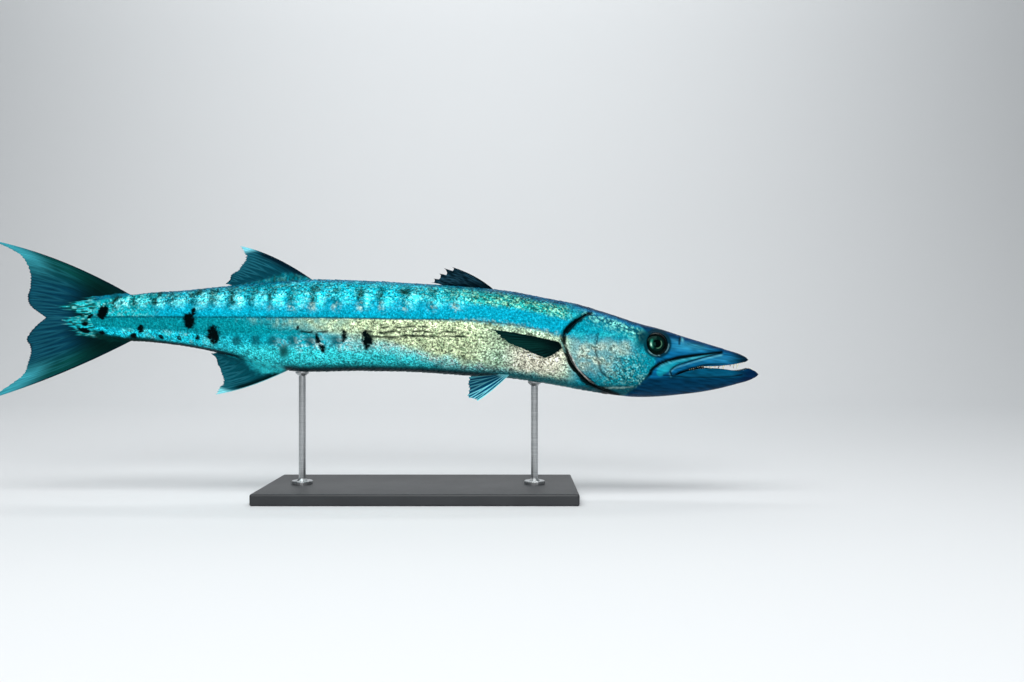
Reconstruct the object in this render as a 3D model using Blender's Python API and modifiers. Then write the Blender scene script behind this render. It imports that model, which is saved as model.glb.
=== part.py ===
"""A great barracuda as a life-size museum model, held level by a plain display stand.

Metres, +Z up, the head towards +X and the fish's right side towards -Y. The origin lies on the
floor under the middle of the fish's length. Heights along the body are measured from its level
line, which runs LEVEL above the floor.
"""
import math

import bmesh
import bpy
import numpy as np

# Overall
LEVEL = 0.220
GAP = 0.0003

# Body outline in the middle plane: how far along, and how high
BACK_LINE = [(-0.402, 0.0570), (-0.361, 0.0636), (-0.318, 0.0690), (-0.275, 0.0718), (-0.208, 0.0785),
             (-0.146, 0.0842), (-0.086, 0.0878), (-0.018, 0.0865), (0.060, 0.0824), (0.150, 0.0762),
             (0.196, 0.0714), (0.240, 0.0630), (0.290, 0.0532), (0.333, 0.0409), (0.376, 0.0267),
             (0.440, 0.0077), (0.504, -0.0120), (0.529, -0.0205), (0.537, -0.0262)]
BELLY_LINE = [(-0.402, 0.0105), (-0.361, 0.0014), (-0.325, -0.0010), (-0.275, -0.0064), (-0.225, -0.0157),
              (-0.181, -0.0272), (-0.146, -0.0385), (-0.118, -0.0425), (-0.018, -0.0429), (0.060, -0.0445),
              (0.140, -0.0498), (0.196, -0.0532), (0.240, -0.0593), (0.311, -0.0719), (0.354, -0.0784),
              (0.380, -0.0799), (0.440, -0.0764), (0.483, -0.0705), (0.519, -0.0619), (0.544, -0.0540),
              (0.552, -0.0496)]

# Half width of the body and upper jaw, of the lower jaw, and the height of the widest place
HALF_WIDTH = [(-0.402, 0.0036), (-0.361, 0.0115), (-0.318, 0.0195), (-0.275, 0.0262), (-0.208, 0.0340),
              (-0.146, 0.0405), (-0.086, 0.0450), (-0.018, 0.0478), (0.060, 0.0492), (0.150, 0.0495),
              (0.240, 0.0475), (0.311, 0.0455), (0.345, 0.0430), (0.372, 0.0385), (0.404, 0.0325),
              (0.440, 0.0257), (0.483, 0.0195), (0.510, 0.0150), (0.529, 0.0090), (0.5345, 0.0050),
              (0.537, 0.0022)]
JAW_HALF_WIDTH = [(0.372, 0.0385), (0.404, 0.0320), (0.440, 0.0246), (0.483, 0.0182), (0.519, 0.0130),
                  (0.540, 0.0085), (0.548, 0.0055), (0.552, 0.0022)]
WIDEST_LINE = [(-0.402, 0.0335), (-0.275, 0.0340), (-0.146, 0.0250), (-0.018, 0.0220), (0.093, 0.0180),
               (0.196, 0.0080), (0.290, -0.0100), (0.372, -0.0200), (0.440, -0.0320), (0.483, -0.0345),
               (0.519, -0.0310), (0.537, -0.0272)]
JAW_WIDEST_LINE = [(0.372, -0.0200), (0.440, -0.0320), (0.483, -0.0375), (0.519, -0.0405), (0.537, -0.0385),
                   (0.552, -0.0480)]
ROUNDNESS = [(-0.402, 2.0), (-0.018, 2.15), (0.240, 2.25), (0.372, 2.5), (0.440, 2.4), (0.552, 2.1)]

# Where one node ends and the next begins
TAIL_X = -0.235
MIDDLE_X = -0.020
NECK_X = 0.255
CHEEK_X = 0.372
FIN_ROOT_X = -0.402
FIN_ROOT_SWEEP = 0.058
FIN_ROOT_BLEND_X = -0.330

# Mouth: lips of the upper and lower jaw, and the seam from the mouth's corner down to the jaw joint
UPPER_LIP = [(0.372, -0.0800), (0.3765, -0.0705), (0.385, -0.0602), (0.3998, -0.0528), (0.4249, -0.0488),
             (0.4398, -0.0428), (0.4558, -0.0380), (0.4700, -0.0351), (0.4957, -0.0336), (0.5112, -0.0333),
             (0.5275, -0.0304), (0.5345, -0.0292), (0.537, -0.0282)]
LOWER_LIP = [(0.372, -0.0805), (0.3765, -0.0710), (0.385, -0.0607), (0.3998, -0.0533), (0.4249, -0.0493),
             (0.4460, -0.0426), (0.4602, -0.0396), (0.4805, -0.0386), (0.5010, -0.0399), (0.5220, -0.0420),
             (0.5305, -0.0405), (0.5370, -0.0389), (0.5425, -0.0420), (0.552, -0.0484)]
MOUTH_CORNER_X = 0.4249
LIP_THICKNESS = 0.0032
PALATE_RISE = 0.30
MOUTH_FLOOR_DROP = 0.30

# Gill covers: the rear edge as a place along the body for each turn from back (0) to belly (1)
GILL_EDGE = [(0.0, 0.340), (0.10, 0.329), (0.176, 0.3133), (0.24, 0.3028), (0.292, 0.2950), (0.348, 0.2862),
             (0.414, 0.2774), (0.465, 0.2735), (0.505, 0.2755), (0.583, 0.2830), (0.634, 0.2883),
             (0.693, 0.2983), (0.758, 0.3095), (0.81, 0.3229), (0.851, 0.3360), (0.90, 0.3490), (1.0, 0.3560)]
COVER_TURNS = (0.190, 0.90)
COVER_THICKNESS = 0.0022
COVER_FLARE = 0.0010
COVER_FRONT = 0.42
COVER_ROWS = 6
PLATE_GAP = 0.00045
TRENCH_DEPTH = 0.0050
TRENCH_WIDTH = 0.0075

# Eyes, nostrils and maxillae
EYE_CENTRE = (0.4033, -0.0032)
EYE_RADIUS = 0.0168
EYE_DEPTH = 0.0088
EYE_SINK = 0.0042
SOCKET_GAP = 0.0004
ORBIT_RADIUS = 0.0163
ORBIT_RIM = 0.0015
ORBIT_SINK = 0.0006
NOSTRIL = (0.4354, -0.0002)
NOSTRIL_RADII = (0.0021, 0.0030, 0.0052)
MAXILLA_LINE = [(0.4970, -0.0167, 0.0008), (0.4785, -0.0197, 0.0020), (0.4630, -0.0229, 0.0029),
                (0.4480, -0.0255, 0.0042), (0.4325, -0.0290, 0.0061), (0.4200, -0.0340, 0.0078),
                (0.4115, -0.0405, 0.0076), (0.4055, -0.0468, 0.0036)]
MAXILLA_THICKNESS = 0.0015

# Teeth
TOOTH_SPACING = 0.0050
TOOTH_RADIUS = 0.0008
TOOTH_HEIGHT = 0.0024
JAW_TOOTH_HEIGHT = 0.0019
FANG_RADIUS = 0.0012
UPPER_FANGS = [(0.4965, 0.0043), (0.5160, 0.0056)]
LOWER_FANGS = [(0.5405, 0.0040)]
TEETH_START_X = 0.4715
TEETH_END_X = 0.531

# Fins: membrane and ray thickness at the root and the tip
MEMBRANE = (0.0011, 0.0005)
RAY = (0.0022, 0.0009)

# Unpaired fins: each ray's place along the body or turn at its root, its tip, and its bow between
FIRST_DORSAL_ROOTS = (0.173, 0.157, 0.141, 0.122, 0.101)
FIRST_DORSAL_TIPS = [(0.113, 0.1060), (0.102, 0.1041), (0.095, 0.0964), (0.087, 0.0891), (0.084, 0.0838)]
FIRST_DORSAL_BOWS = [(0.002, 0.0030), (0.001, 0.0020), (0.001, 0.0015), (0, 0.0010), (0, 0.0004)]
FIRST_DORSAL_NOTCH = 0.24
SECOND_DORSAL_ROOTS = (-0.086, -0.200)
SECOND_DORSAL_TIPS = [(-0.189, 0.1358), (-0.1845, 0.1273), (-0.182, 0.1187), (-0.186, 0.1128),
                      (-0.191, 0.1042), (-0.197, 0.0990), (-0.203, 0.0945), (-0.204, 0.0885),
                      (-0.210, 0.0815)]
SECOND_DORSAL_BOWS = [(-0.002, 0.0075), (-0.001, 0.0055), (0, 0.0040), (0, 0.0025), (0, 0.0015),
                      (0, 0.0005), (0, 0.0005), (0, 0.0005), (0, 0.0005)]
ANAL_ROOTS = (-0.121, -0.222)
ANAL_TIPS = [(-0.224, -0.0765), (-0.2195, -0.0661), (-0.2145, -0.0610), (-0.2155, -0.0523),
             (-0.218, -0.0423), (-0.2215, -0.0342), (-0.224, -0.0242), (-0.231, -0.0177)]
ANAL_BOWS = [(-0.002, -0.0050), (-0.001, -0.0045), (0, -0.0035), (0, -0.0025), (0, -0.0015),
             (0, -0.0005), (0, -0.0005), (0, -0.0005)]
SHEATH = [0.0012, 0.0032, 0.0032, 0.0032, 0.0030, 0.0026, 0.0024, 0.0012]
SHEATH_FADE = 0.35
CAUDAL_UPPER_TURN = 0.004
CAUDAL_UPPER_TIPS = [(-0.548, 0.1451), (-0.516, 0.1308), (-0.499, 0.1177), (-0.4905, 0.0964),
                     (-0.490, 0.0799), (-0.4935, 0.0652), (-0.491, 0.0521), (-0.480, 0.0422),
                     (-0.467, 0.03366)]
CAUDAL_UPPER_BOW = 0.0095
CAUDAL_LOWER_TURN = 0.996
CAUDAL_LOWER_TIPS = [(-0.552, -0.0844), (-0.515, -0.0600), (-0.499, -0.0465), (-0.495, -0.0350),
                     (-0.4905, -0.0219), (-0.490, -0.0080), (-0.495, 0.0040), (-0.481, 0.0225),
                     (-0.467, 0.03334)]
CAUDAL_LOWER_BOW = -0.0055
CAUDAL_FADE = 0.45

# Paired fins: the ray roots and tips, how far they stand off the flank, and the pelvic fins' splay
PECTORAL_ROOTS = [(0.2640, -0.0015), (0.2648, -0.0032), (0.2656, -0.0049), (0.2664, -0.0066),
                  (0.2672, -0.0083), (0.2680, -0.0100)]
PECTORAL_TIPS = [(0.1712, 0.0160), (0.1810, 0.0058), (0.1923, -0.0030), (0.2100, -0.0095),
                 (0.2270, -0.0172), (0.2430, -0.0232)]
PECTORAL_AWAY = (0.0150, 0.0140, 0.0125, 0.0105, 0.0085, 0.0065)
PECTORAL_ROOT_LIFT = 0.0016
PELVIC_ROOTS = (0.1950, 0.1925, 0.1900, 0.1875, 0.1850, 0.1825)
PELVIC_TIPS = [(0.1520, -0.0330, -0.0838), (0.1465, -0.0335, -0.0815), (0.1373, -0.0335, -0.0788),
               (0.1385, -0.0325, -0.0675), (0.1373, -0.0305, -0.0585), (0.1395, -0.0320, -0.0505)]
PELVIC_TURN = 0.86
PELVIC_ROOT_LIFT = 0.0014

# Stand
BASE_CENTRE_X = 0.070
BASE_SIZE = (0.440, 0.200, 0.016)
BASE_BEVEL = 0.0025
ROD_RADIUS = 0.0050
FOOT_RADIUS = 0.0150
FOOT_HEIGHT = 0.0045
SADDLE_RADIUS = 0.0095
SADDLE_HEIGHT = 0.0060
ROD_PLACES = {"front": 0.232, "rear": -0.100}

# Sections of the upper jaw and of the lower jaw, close together where their outlines turn
HEAD_STATIONS = (0.3745, 0.378, 0.385, 0.394, 0.4035, 0.413, 0.4215, 0.430, 0.441, 0.454, 0.468, 0.482,
                 0.496, 0.509, 0.519, 0.527, 0.5325, 0.5360)
JAW_STATIONS = (0.3750, 0.379, 0.385, 0.394, 0.4035, 0.413, 0.4225, 0.433, 0.445, 0.459, 0.474, 0.489,
                0.504, 0.517, 0.527, 0.5345, 0.541, 0.546, 0.5495, 0.5520)

# Mesh columns on the right half of a section: those of the whole head, those above the mouth, and
# how far round the last whole section they reach
HALF_COLUMNS = 20
SIDE_COLUMNS = 14
SIDE_REACH = 0.93
BODY_COLUMNS = 20
JAW_COLUMNS = 9
COVER_FIRST_COLUMN = 4
COVER_FIRST_ROW = 5


def clear_scene():
    for thing in list(bpy.data.objects):
        bpy.data.objects.remove(thing)


def collection(name):
    group = bpy.data.collections.new(name)
    bpy.context.scene.collection.children.link(group)
    return group


clear_scene()
MODEL = collection("great_barracuda")
CUTTERS = collection("cutters")


def material(name, colour, roughness, metallic=0.0):
    paint = bpy.data.materials.new(name)
    paint.use_nodes = True
    shader = paint.node_tree.nodes["Principled BSDF"]
    shader.inputs["Base Color"].default_value = (*colour, 1.0)
    shader.inputs["Roughness"].default_value = roughness
    shader.inputs["Metallic"].default_value = metallic
    return paint


SKIN = material("silver_skin", (0.30, 0.48, 0.46), 0.32, 0.45)
HEAD_SKIN = material("head_skin", (0.10, 0.30, 0.34), 0.35, 0.35)
COVER_SKIN = material("gill_cover_skin", (0.26, 0.46, 0.46), 0.30, 0.45)
FIN_SKIN = material("dark_fin", (0.012, 0.035, 0.038), 0.50)
PALE_FIN = material("pale_fin", (0.33, 0.50, 0.52), 0.45)
EYE_GLASS = material("eye", (0.010, 0.012, 0.012), 0.08)
BASE_PAINT = material("base_paint", (0.030, 0.032, 0.034), 0.45)
ROD_STEEL = material("rod_steel", (0.55, 0.56, 0.57), 0.30, 1.0)


def smooth(line, x):
    """Height of the smooth curve through the line's points at x, flat beyond its ends."""
    places, values = np.array(line).T
    slopes = np.gradient(values, places)
    x = np.clip(x, places[0], places[-1])
    i = np.clip(np.searchsorted(places, x) - 1, 0, len(places) - 2)
    step = places[i + 1] - places[i]
    t = (x - places[i]) / step
    start = (1 + 2 * t) * (1 - t) ** 2 * values[i] + t * (1 - t) ** 2 * step * slopes[i]
    end = t * t * (3 - 2 * t) * values[i + 1] + t * t * (t - 1) * step * slopes[i + 1]
    return start + end


def section_point(x, turn, lift=0.0, jaw=False):
    """Point on the right side of the section at x, turn 0 at the back to 1 at the belly.

    Above and below the widest place the section is a quarter of a superellipse. The point is
    lifted off the surface by lift along the section's normal.
    """
    x, turn, lift = np.broadcast_arrays(np.asarray(x, float), turn, lift)
    angle = np.pi * (0.5 - turn)
    width = smooth(JAW_HALF_WIDTH if jaw else HALF_WIDTH, x)
    middle = smooth(JAW_WIDEST_LINE if jaw else WIDEST_LINE, x)
    above = smooth(BACK_LINE, x) - middle
    below = middle - smooth(BELLY_LINE, x)
    reach = np.where(angle >= 0, above, below)
    power = smooth(ROUNDNESS, x)
    across = np.clip(np.cos(angle), 0, 1) ** (2 / power)
    rise = np.sign(angle) * np.abs(np.sin(angle)) ** (2 / power)
    normal_y = across ** (power - 1) / width
    normal_z = np.sign(rise) * np.abs(rise) ** (power - 1) / reach
    length = np.hypot(normal_y, normal_z)
    y = -(width * across + lift * normal_y / length)
    z = middle + reach * rise + lift * normal_z / length
    return np.stack([x, y, z + LEVEL], -1)


def turn_at_height(x, height, jaw=False):
    """Turn at which the section at x comes down to a height below its widest place."""
    middle = smooth(JAW_WIDEST_LINE if jaw else WIDEST_LINE, x)
    below = middle - smooth(BELLY_LINE, x)
    share = np.clip((middle - height) / below, 0, 1)
    return 0.5 + np.arcsin(share ** (smooth(ROUNDNESS, x) / 2)) / np.pi


def flank_point(x, height, lift=0.0):
    """Point on the right flank at a place along the body and a height, lifted off the skin."""
    turns = np.linspace(0.02, 0.98, 193)
    sides = section_point(np.full_like(turns, x), turns, lift)
    turn = np.interp(-(height + LEVEL), -sides[:, 2], turns)
    return section_point(x, turn, lift)


def new_object(name, vertices, faces, paint, group=MODEL):
    mesh = bpy.data.meshes.new(name)
    mesh.from_pydata([tuple(map(float, v)) for v in vertices], [], faces)
    shape = bmesh.new()
    shape.from_mesh(mesh)
    bmesh.ops.recalc_face_normals(shape, faces=shape.faces)
    shape.to_mesh(mesh)
    shape.free()
    mesh.materials.append(paint)
    body = bpy.data.objects.new(name, mesh)
    group.objects.link(body)
    return body


def shade(body, angle=40):
    body.data.shade_smooth()
    body.data.set_sharp_from_angle(angle=math.radians(angle))


def mirrored_ring(half):
    """Whole ring from its right half, whose first and last points lie in the middle plane."""
    half = np.array(half)
    half[..., 0, 1] = 0
    half[..., -1, 1] = 0
    left = half[..., -2:0:-1, :] * (1, -1, 1)
    return np.concatenate([half, left], -2)


def loft(name, half_rows, paint, group=MODEL):
    """Closed loft through mirrored rings, each end closed by strips from side to side."""
    rings = mirrored_ring(half_rows)
    rows, columns = rings.shape[:2]
    faces = []
    for r in range(rows - 1):
        for c in range(columns):
            d = (c + 1) % columns
            here, after = r * columns, (r + 1) * columns
            faces.append((here + c, here + d, after + d, after + c))
    for first in (0, (rows - 1) * columns):
        for c in range(columns // 2):
            strip = [first + c, first + c + 1, first + columns - c - 1, first + (columns - c) % columns]
            faces.append(tuple(dict.fromkeys(strip)))
    body = new_object(name, rings.reshape(-1, 3), faces, paint, group)
    shade(body)
    return body


def slab(name, front, back, paint, group=MODEL):
    """Closed thin solid between two like grids of points, split into triangles alike on both faces."""
    rows, columns = front.shape[:2]
    count = rows * columns
    faces = []
    for r in range(rows - 1):
        for c in range(columns - 1):
            a = r * columns + c
            b, d, e = a + 1, a + columns, a + columns + 1
            faces += [(a, b, e), (a, e, d)]
            faces += [(count + a, count + e, count + b), (count + a, count + d, count + e)]
    top = list(range(columns))
    right = [r * columns + columns - 1 for r in range(1, rows)]
    bottom = [(rows - 1) * columns + c for c in range(columns - 2, -1, -1)]
    left = [r * columns for r in range(rows - 2, 0, -1)]
    rim = top + right + bottom + left
    for a, b in zip(rim, rim[1:] + rim[:1]):
        faces += [(a, b, count + b), (a, count + b, count + a)]
    body = new_object(name, np.concatenate([front, back]).reshape(-1, 3), faces, paint, group)
    shade(body)
    return body


def evaluated_mesh(body):
    bpy.context.view_layer.update()
    scene = bpy.context.evaluated_depsgraph_get()
    return bpy.data.meshes.new_from_object(body.evaluated_get(scene))


def shell_size(shell):
    """Three times the volume enclosed by a closed set of faces."""
    return abs(sum(f.calc_center_median().dot(f.normal) * f.calc_area() for f in shell))


def keep_largest(body):
    """Delete every loose surface but the one with the most volume."""
    shape = bmesh.new()
    shape.from_mesh(body.data)
    left = set(shape.faces)
    shells = []
    while left:
        shell = [left.pop()]
        for face in shell:
            for edge in face.edges:
                for other in edge.link_faces:
                    if other in left:
                        left.remove(other)
                        shell.append(other)
        shells.append(shell)
    shells.sort(key=shell_size)
    scraps = [face for shell in shells[:-1] for face in shell]
    if scraps:
        bmesh.ops.delete(shape, geom=scraps, context="FACES")
    loose = [v for v in shape.verts if not v.link_faces]
    bmesh.ops.delete(shape, geom=loose, context="VERTS")
    shape.to_mesh(body.data)
    shape.free()


def combine(body, pieces, operation):
    """One Boolean of the body with a collection of closed pieces, applied."""
    group = collection(body.name + "_" + operation.lower())
    for piece in pieces:
        for holder in list(piece.users_collection):
            holder.objects.unlink(piece)
        group.objects.link(piece)
    boolean = body.modifiers.new(operation.lower(), "BOOLEAN")
    boolean.operation = operation
    boolean.operand_type = "COLLECTION"
    boolean.collection = group
    boolean.solver = "EXACT"
    mesh = evaluated_mesh(body)
    body.modifiers.clear()
    body.data = mesh
    for piece in pieces:
        bpy.data.objects.remove(piece)
    bpy.data.collections.remove(group)
    keep_largest(body)


def body_length(name, start, end, rows):
    """A length of the trunk between two upright planes, with the gap taken off its front end."""
    x = np.linspace(start, end - GAP, rows)[:, None]
    turns = np.linspace(0, 1, BODY_COLUMNS + 1)[None, :]
    return loft(name, section_point(x, turns), SKIN)


def fin_root_x(turn):
    """End of the tail stalk: furthest back at half height, swept forward to the back and belly."""
    return FIN_ROOT_X + FIN_ROOT_SWEEP * np.abs(2 * turn - 1) ** 2.2


def tail_stalk():
    turns = np.linspace(0, 1, BODY_COLUMNS + 1)[None, :]
    upright = np.linspace(TAIL_X - GAP, FIN_ROOT_BLEND_X, 6)[:, None]
    straight = np.repeat(upright, BODY_COLUMNS + 1, axis=1)
    share = np.linspace(0, 1, 7)[1:, None]
    swept = FIN_ROOT_BLEND_X + (fin_root_x(turns) - FIN_ROOT_BLEND_X) * share
    return loft("tail_stalk", section_point(np.concatenate([straight, swept]), turns), SKIN)


def head_rows():
    """Turns, places along the head and depths below the skin, row by row from neck to cheek.

    The rows bend from the upright neck to the gill cover's edge and back to the upright cheek, and
    the columns gather towards the belly on the way to the mouth's first section.
    """
    top = np.linspace(0, COVER_TURNS[0] - 0.012, COVER_FIRST_COLUMN)
    covered = np.linspace(*COVER_TURNS, HALF_COLUMNS - 5)
    turns = np.concatenate([top, covered, [COVER_TURNS[1] + 0.018, 1.0]])
    edge = smooth(GILL_EDGE, turns)
    hidden = np.isin(turns, covered)
    under = COVER_THICKNESS + PLATE_GAP
    rows = [(np.full_like(turns, NECK_X), 0.0), (NECK_X + (edge - NECK_X) * 0.5, 0.0),
            (edge - TRENCH_WIDTH, 0.0), (edge - 0.6 * TRENCH_WIDTH, TRENCH_DEPTH),
            (edge + 0.2 * TRENCH_WIDTH, TRENCH_DEPTH)]
    for share in np.linspace(0.14, COVER_FRONT, COVER_ROWS):
        rows.append((edge + (CHEEK_X - edge) * share, under))
    for share in (COVER_FRONT + 0.03, 0.60, 0.78, 0.90, 1.0):
        rows.append((edge + (CHEEK_X - edge) * share, 0.0))
    places = np.array([row[0] for row in rows])
    sink = np.array([row[1] * hidden for row in rows])
    side = np.linspace(0, SIDE_REACH, SIDE_COLUMNS + 1)
    below = np.linspace(SIDE_REACH, 1, HALF_COLUMNS - SIDE_COLUMNS + 1)[1:]
    gather = np.repeat([0, 0.25, 0.6, 0.85, 1.0], [len(rows) - 4, 1, 1, 1, 1])[:, None]
    turns = turns + (np.concatenate([side, below]) - turns) * gather
    return turns, places, sink


def head_solid():
    """Head and upper jaw: full sections back to the neck, and sections open to the mouth in front."""
    turns, places, sink = head_rows()
    full = section_point(places, turns, -sink)
    x = np.array(HEAD_STATIONS)[:, None]
    lip = smooth(UPPER_LIP, x)
    cut_turn = turn_at_height(x, lip)
    sides = section_point(x, cut_turn * np.linspace(0, 1, SIDE_COLUMNS + 1)[None, :])
    edge_y = sides[:, -1:, 1]
    inner = edge_y + np.minimum(LIP_THICKNESS, -0.4 * edge_y)
    s = np.linspace(0, 1, HALF_COLUMNS - SIDE_COLUMNS)[None, :]
    opening = np.clip((x - MOUTH_CORNER_X) / 0.02, 0, 1)
    rise = PALATE_RISE * opening * (smooth(BACK_LINE, x) - lip)
    palate = np.stack([x + 0 * s, inner * (1 - s), lip + LEVEL + rise * np.sin(s * np.pi / 2)], -1)
    front = np.concatenate([sides, palate], 1)
    return loft("head", np.concatenate([full, front]), HEAD_SKIN)


def lower_jaw_solid():
    """Lower jaw from its joint to the tip, with a trough between its rims in front of the corner."""
    x = np.array(JAW_STATIONS)[:, None]
    lip = np.minimum(smooth(LOWER_LIP, x), smooth(UPPER_LIP, x) - 0.0005)
    first = turn_at_height(x, lip, jaw=True)
    sides = section_point(x, first + (1 - first) * np.linspace(0, 1, JAW_COLUMNS + 1)[None, :], jaw=True)
    edge_y = sides[:, :1, 1]
    inner = edge_y + np.minimum(LIP_THICKNESS, -0.4 * edge_y)
    s = np.linspace(0, 1, 5)[None, :]
    opening = np.clip((x - MOUTH_CORNER_X) / 0.02, 0, 1)
    drop = MOUTH_FLOOR_DROP * opening * (lip - smooth(BELLY_LINE, x))
    trough = np.stack([x + 0 * s, inner * s, lip + LEVEL - drop * np.cos(s * np.pi / 2)], -1)
    return loft("lower_jaw", np.concatenate([trough, sides], 1), HEAD_SKIN)


def gill_cover(name, side):
    """Plate over the gills, from behind the cheek to its free rear edge."""
    turns, places, _ = head_rows()
    columns = slice(COVER_FIRST_COLUMN, HALF_COLUMNS - 1)
    turns = turns[:1, columns]
    beds = places[COVER_FIRST_ROW:COVER_FIRST_ROW + COVER_ROWS, columns]
    places = np.concatenate([smooth(GILL_EDGE, turns), beds])
    flare = np.zeros((COVER_ROWS + 1, 1))
    flare[:2, 0] = COVER_FLARE, 0.3 * COVER_FLARE
    front = section_point(places, turns, flare)
    back = section_point(places, turns, flare - COVER_THICKNESS)
    return slab(name, front * (1, -side, 1), back * (1, -side, 1), COVER_SKIN)


def maxilla(name, side):
    """Flat bone along the side of the upper jaw, widening to a paddle behind the mouth's corner."""
    line = np.array(MAXILLA_LINE)
    heading = np.gradient(line[:, :2], axis=0)
    heading /= np.linalg.norm(heading, axis=1)[:, None]
    across = np.stack([-heading[:, 1], heading[:, 0]], -1)
    s = np.linspace(-1, 1, 5)
    spots = line[:, None, :2] + across[:, None] * (line[:, 2:3] * s)[..., None]
    inner = np.array([[flank_point(x, z, 0.0005) for x, z in row] for row in spots])
    crown = MAXILLA_THICKNESS * (1 - 0.5 * s ** 4)
    outer = np.array([[flank_point(x, z, 0.0005 + c) for (x, z), c in zip(row, crown)] for row in spots])
    return slab(name, outer * (1, -side, 1), inner * (1, -side, 1), HEAD_SKIN)


def eye_frame(side):
    """Centre of an eye's opening on the skin, and the outward direction there."""
    x, z = EYE_CENTRE
    step = 0.010
    here = flank_point(x, z)
    along = flank_point(x + step, z) - flank_point(x - step, z)
    up = flank_point(x, z + step) - flank_point(x, z - step)
    out = np.cross(along, up)
    out /= np.linalg.norm(out)
    flip = np.array([1, -side, 1])
    return here * flip, out * flip


def placed(points, centre, out):
    """Turn points given about the Z axis so that Z becomes the outward direction at the centre."""
    up = np.array([0, 0, 1.0])
    side_axis = np.cross(up, out)
    side_axis /= np.linalg.norm(side_axis)
    third = np.cross(out, side_axis)
    return centre + points @ np.array([side_axis, third, out])


def round_piece(name, radii, centre, out, paint, segments=18, rings=10, group=MODEL):
    """Ellipsoid with the given radii, its third one along the outward direction."""
    shape = bmesh.new()
    bmesh.ops.create_uvsphere(shape, u_segments=segments, v_segments=rings, radius=1)
    points = np.array([v.co for v in shape.verts]) * radii
    for vertex, point in zip(shape.verts, placed(points, centre, out)):
        vertex.co = point
    shape.normal_update()
    bmesh.ops.recalc_face_normals(shape, faces=shape.faces)
    mesh = bpy.data.meshes.new(name)
    shape.to_mesh(mesh)
    shape.free()
    mesh.materials.append(paint)
    body = bpy.data.objects.new(name, mesh)
    group.objects.link(body)
    shade(body)
    return body


def eye(name, side):
    centre, out = eye_frame(side)
    radii = (EYE_RADIUS, EYE_RADIUS, EYE_DEPTH)
    return round_piece(name, radii, centre - out * EYE_SINK, out, EYE_GLASS, 20, 12)


def ring_piece(name, centre, out, major, minor, paint, segments=20, around=6):
    """Torus about the outward direction."""
    a = np.linspace(0, 2 * np.pi, segments, endpoint=False)[:, None]
    b = np.linspace(0, 2 * np.pi, around, endpoint=False)[None, :]
    radius = major + minor * np.cos(b)
    points = np.stack([radius * np.cos(a), radius * np.sin(a), minor * np.sin(b) + 0 * a], -1)
    faces = []
    for i in range(segments):
        for j in range(around):
            k, m = (i + 1) % segments, (j + 1) % around
            faces.append((i * around + j, k * around + j, k * around + m, i * around + m))
    return new_object(name, placed(points.reshape(-1, 3), centre, out), faces, paint)


def cone(name, base, tip, radius, paint):
    """Tooth: a five-sided cone whose root is sunk behind its base."""
    base, tip = np.array(base), np.array(tip)
    out = (tip - base) / np.linalg.norm(tip - base)
    a = np.linspace(0, 2 * np.pi, 5, endpoint=False)
    ring = np.stack([radius * np.cos(a), radius * np.sin(a), 0 * a], -1)
    low = placed(ring, base - out * 2 * radius, out)
    high = placed(ring * 0.22, tip, out)
    faces = [(i, (i + 1) % 5, 5 + (i + 1) % 5, 5 + i) for i in range(5)]
    faces += [tuple(range(4, -1, -1)), tuple(range(5, 10))]
    return new_object(name, np.concatenate([low, high]), faces, paint)


def lip_point(x, jaw, inset):
    """Point on the lip of either jaw, inset from its outer edge."""
    lip = smooth(LOWER_LIP if jaw else UPPER_LIP, x)
    edge = section_point(x, turn_at_height(x, lip, jaw), jaw=jaw)
    return np.array([x, min(edge[1] + inset, -0.0012), lip + LEVEL])


def teeth(jaw):
    """Rows of small teeth of uneven height set in from the lips, with the fangs near the front."""
    pointing = np.array([0, 0, 1.0 if jaw else -1.0])
    inset = 0.5 * LIP_THICKNESS
    fangs = LOWER_FANGS if jaw else UPPER_FANGS
    sizes = [(x, height, FANG_RADIUS) for x, height in fangs]
    count = int((TEETH_END_X - TEETH_START_X) / TOOTH_SPACING)
    for i in range(count + 1):
        x = TEETH_START_X + i * TOOTH_SPACING
        if min(abs(x - place) for place, _ in fangs) < 0.6 * TOOTH_SPACING:
            continue
        height = (JAW_TOOTH_HEIGHT if jaw else TOOTH_HEIGHT) * (0.75 + 0.25 * math.cos(2.3 * i))
        sizes.append((x, height, TOOTH_RADIUS))
    pieces = []
    for number, (x, height, radius) in enumerate(sizes):
        for side in (-1, 1):
            base = lip_point(x, jaw, inset) * (1, -side, 1)
            tip = base + pointing * height + np.array([-0.15 * height, 0, 0])
            pieces.append(cone(f"tooth_{number}_{side}", base, tip, radius, HEAD_SKIN))
    return pieces


def finish_head(head):
    """Add teeth and orbit rims, then cut the eye sockets and the nostrils."""
    rims = []
    sockets = []
    for side in (-1, 1):
        centre, out = eye_frame(side)
        rim_centre = centre - out * ORBIT_SINK
        rims.append(ring_piece(f"rim_{side}", rim_centre, out, ORBIT_RADIUS, ORBIT_RIM, HEAD_SKIN))
        radii = np.array([EYE_RADIUS, EYE_RADIUS, EYE_DEPTH]) + SOCKET_GAP
        deep = centre - out * EYE_SINK
        sockets.append(round_piece(f"socket_{side}", radii, deep, out, HEAD_SKIN, 20, 12))
        spot = flank_point(*NOSTRIL) * (1, -side, 1)
        sockets.append(round_piece(f"nostril_{side}", NOSTRIL_RADII, spot, out, HEAD_SKIN, 10, 6))
    combine(head, teeth(False) + rims, "UNION")
    combine(head, sockets, "DIFFERENCE")
    shade(head)


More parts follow.
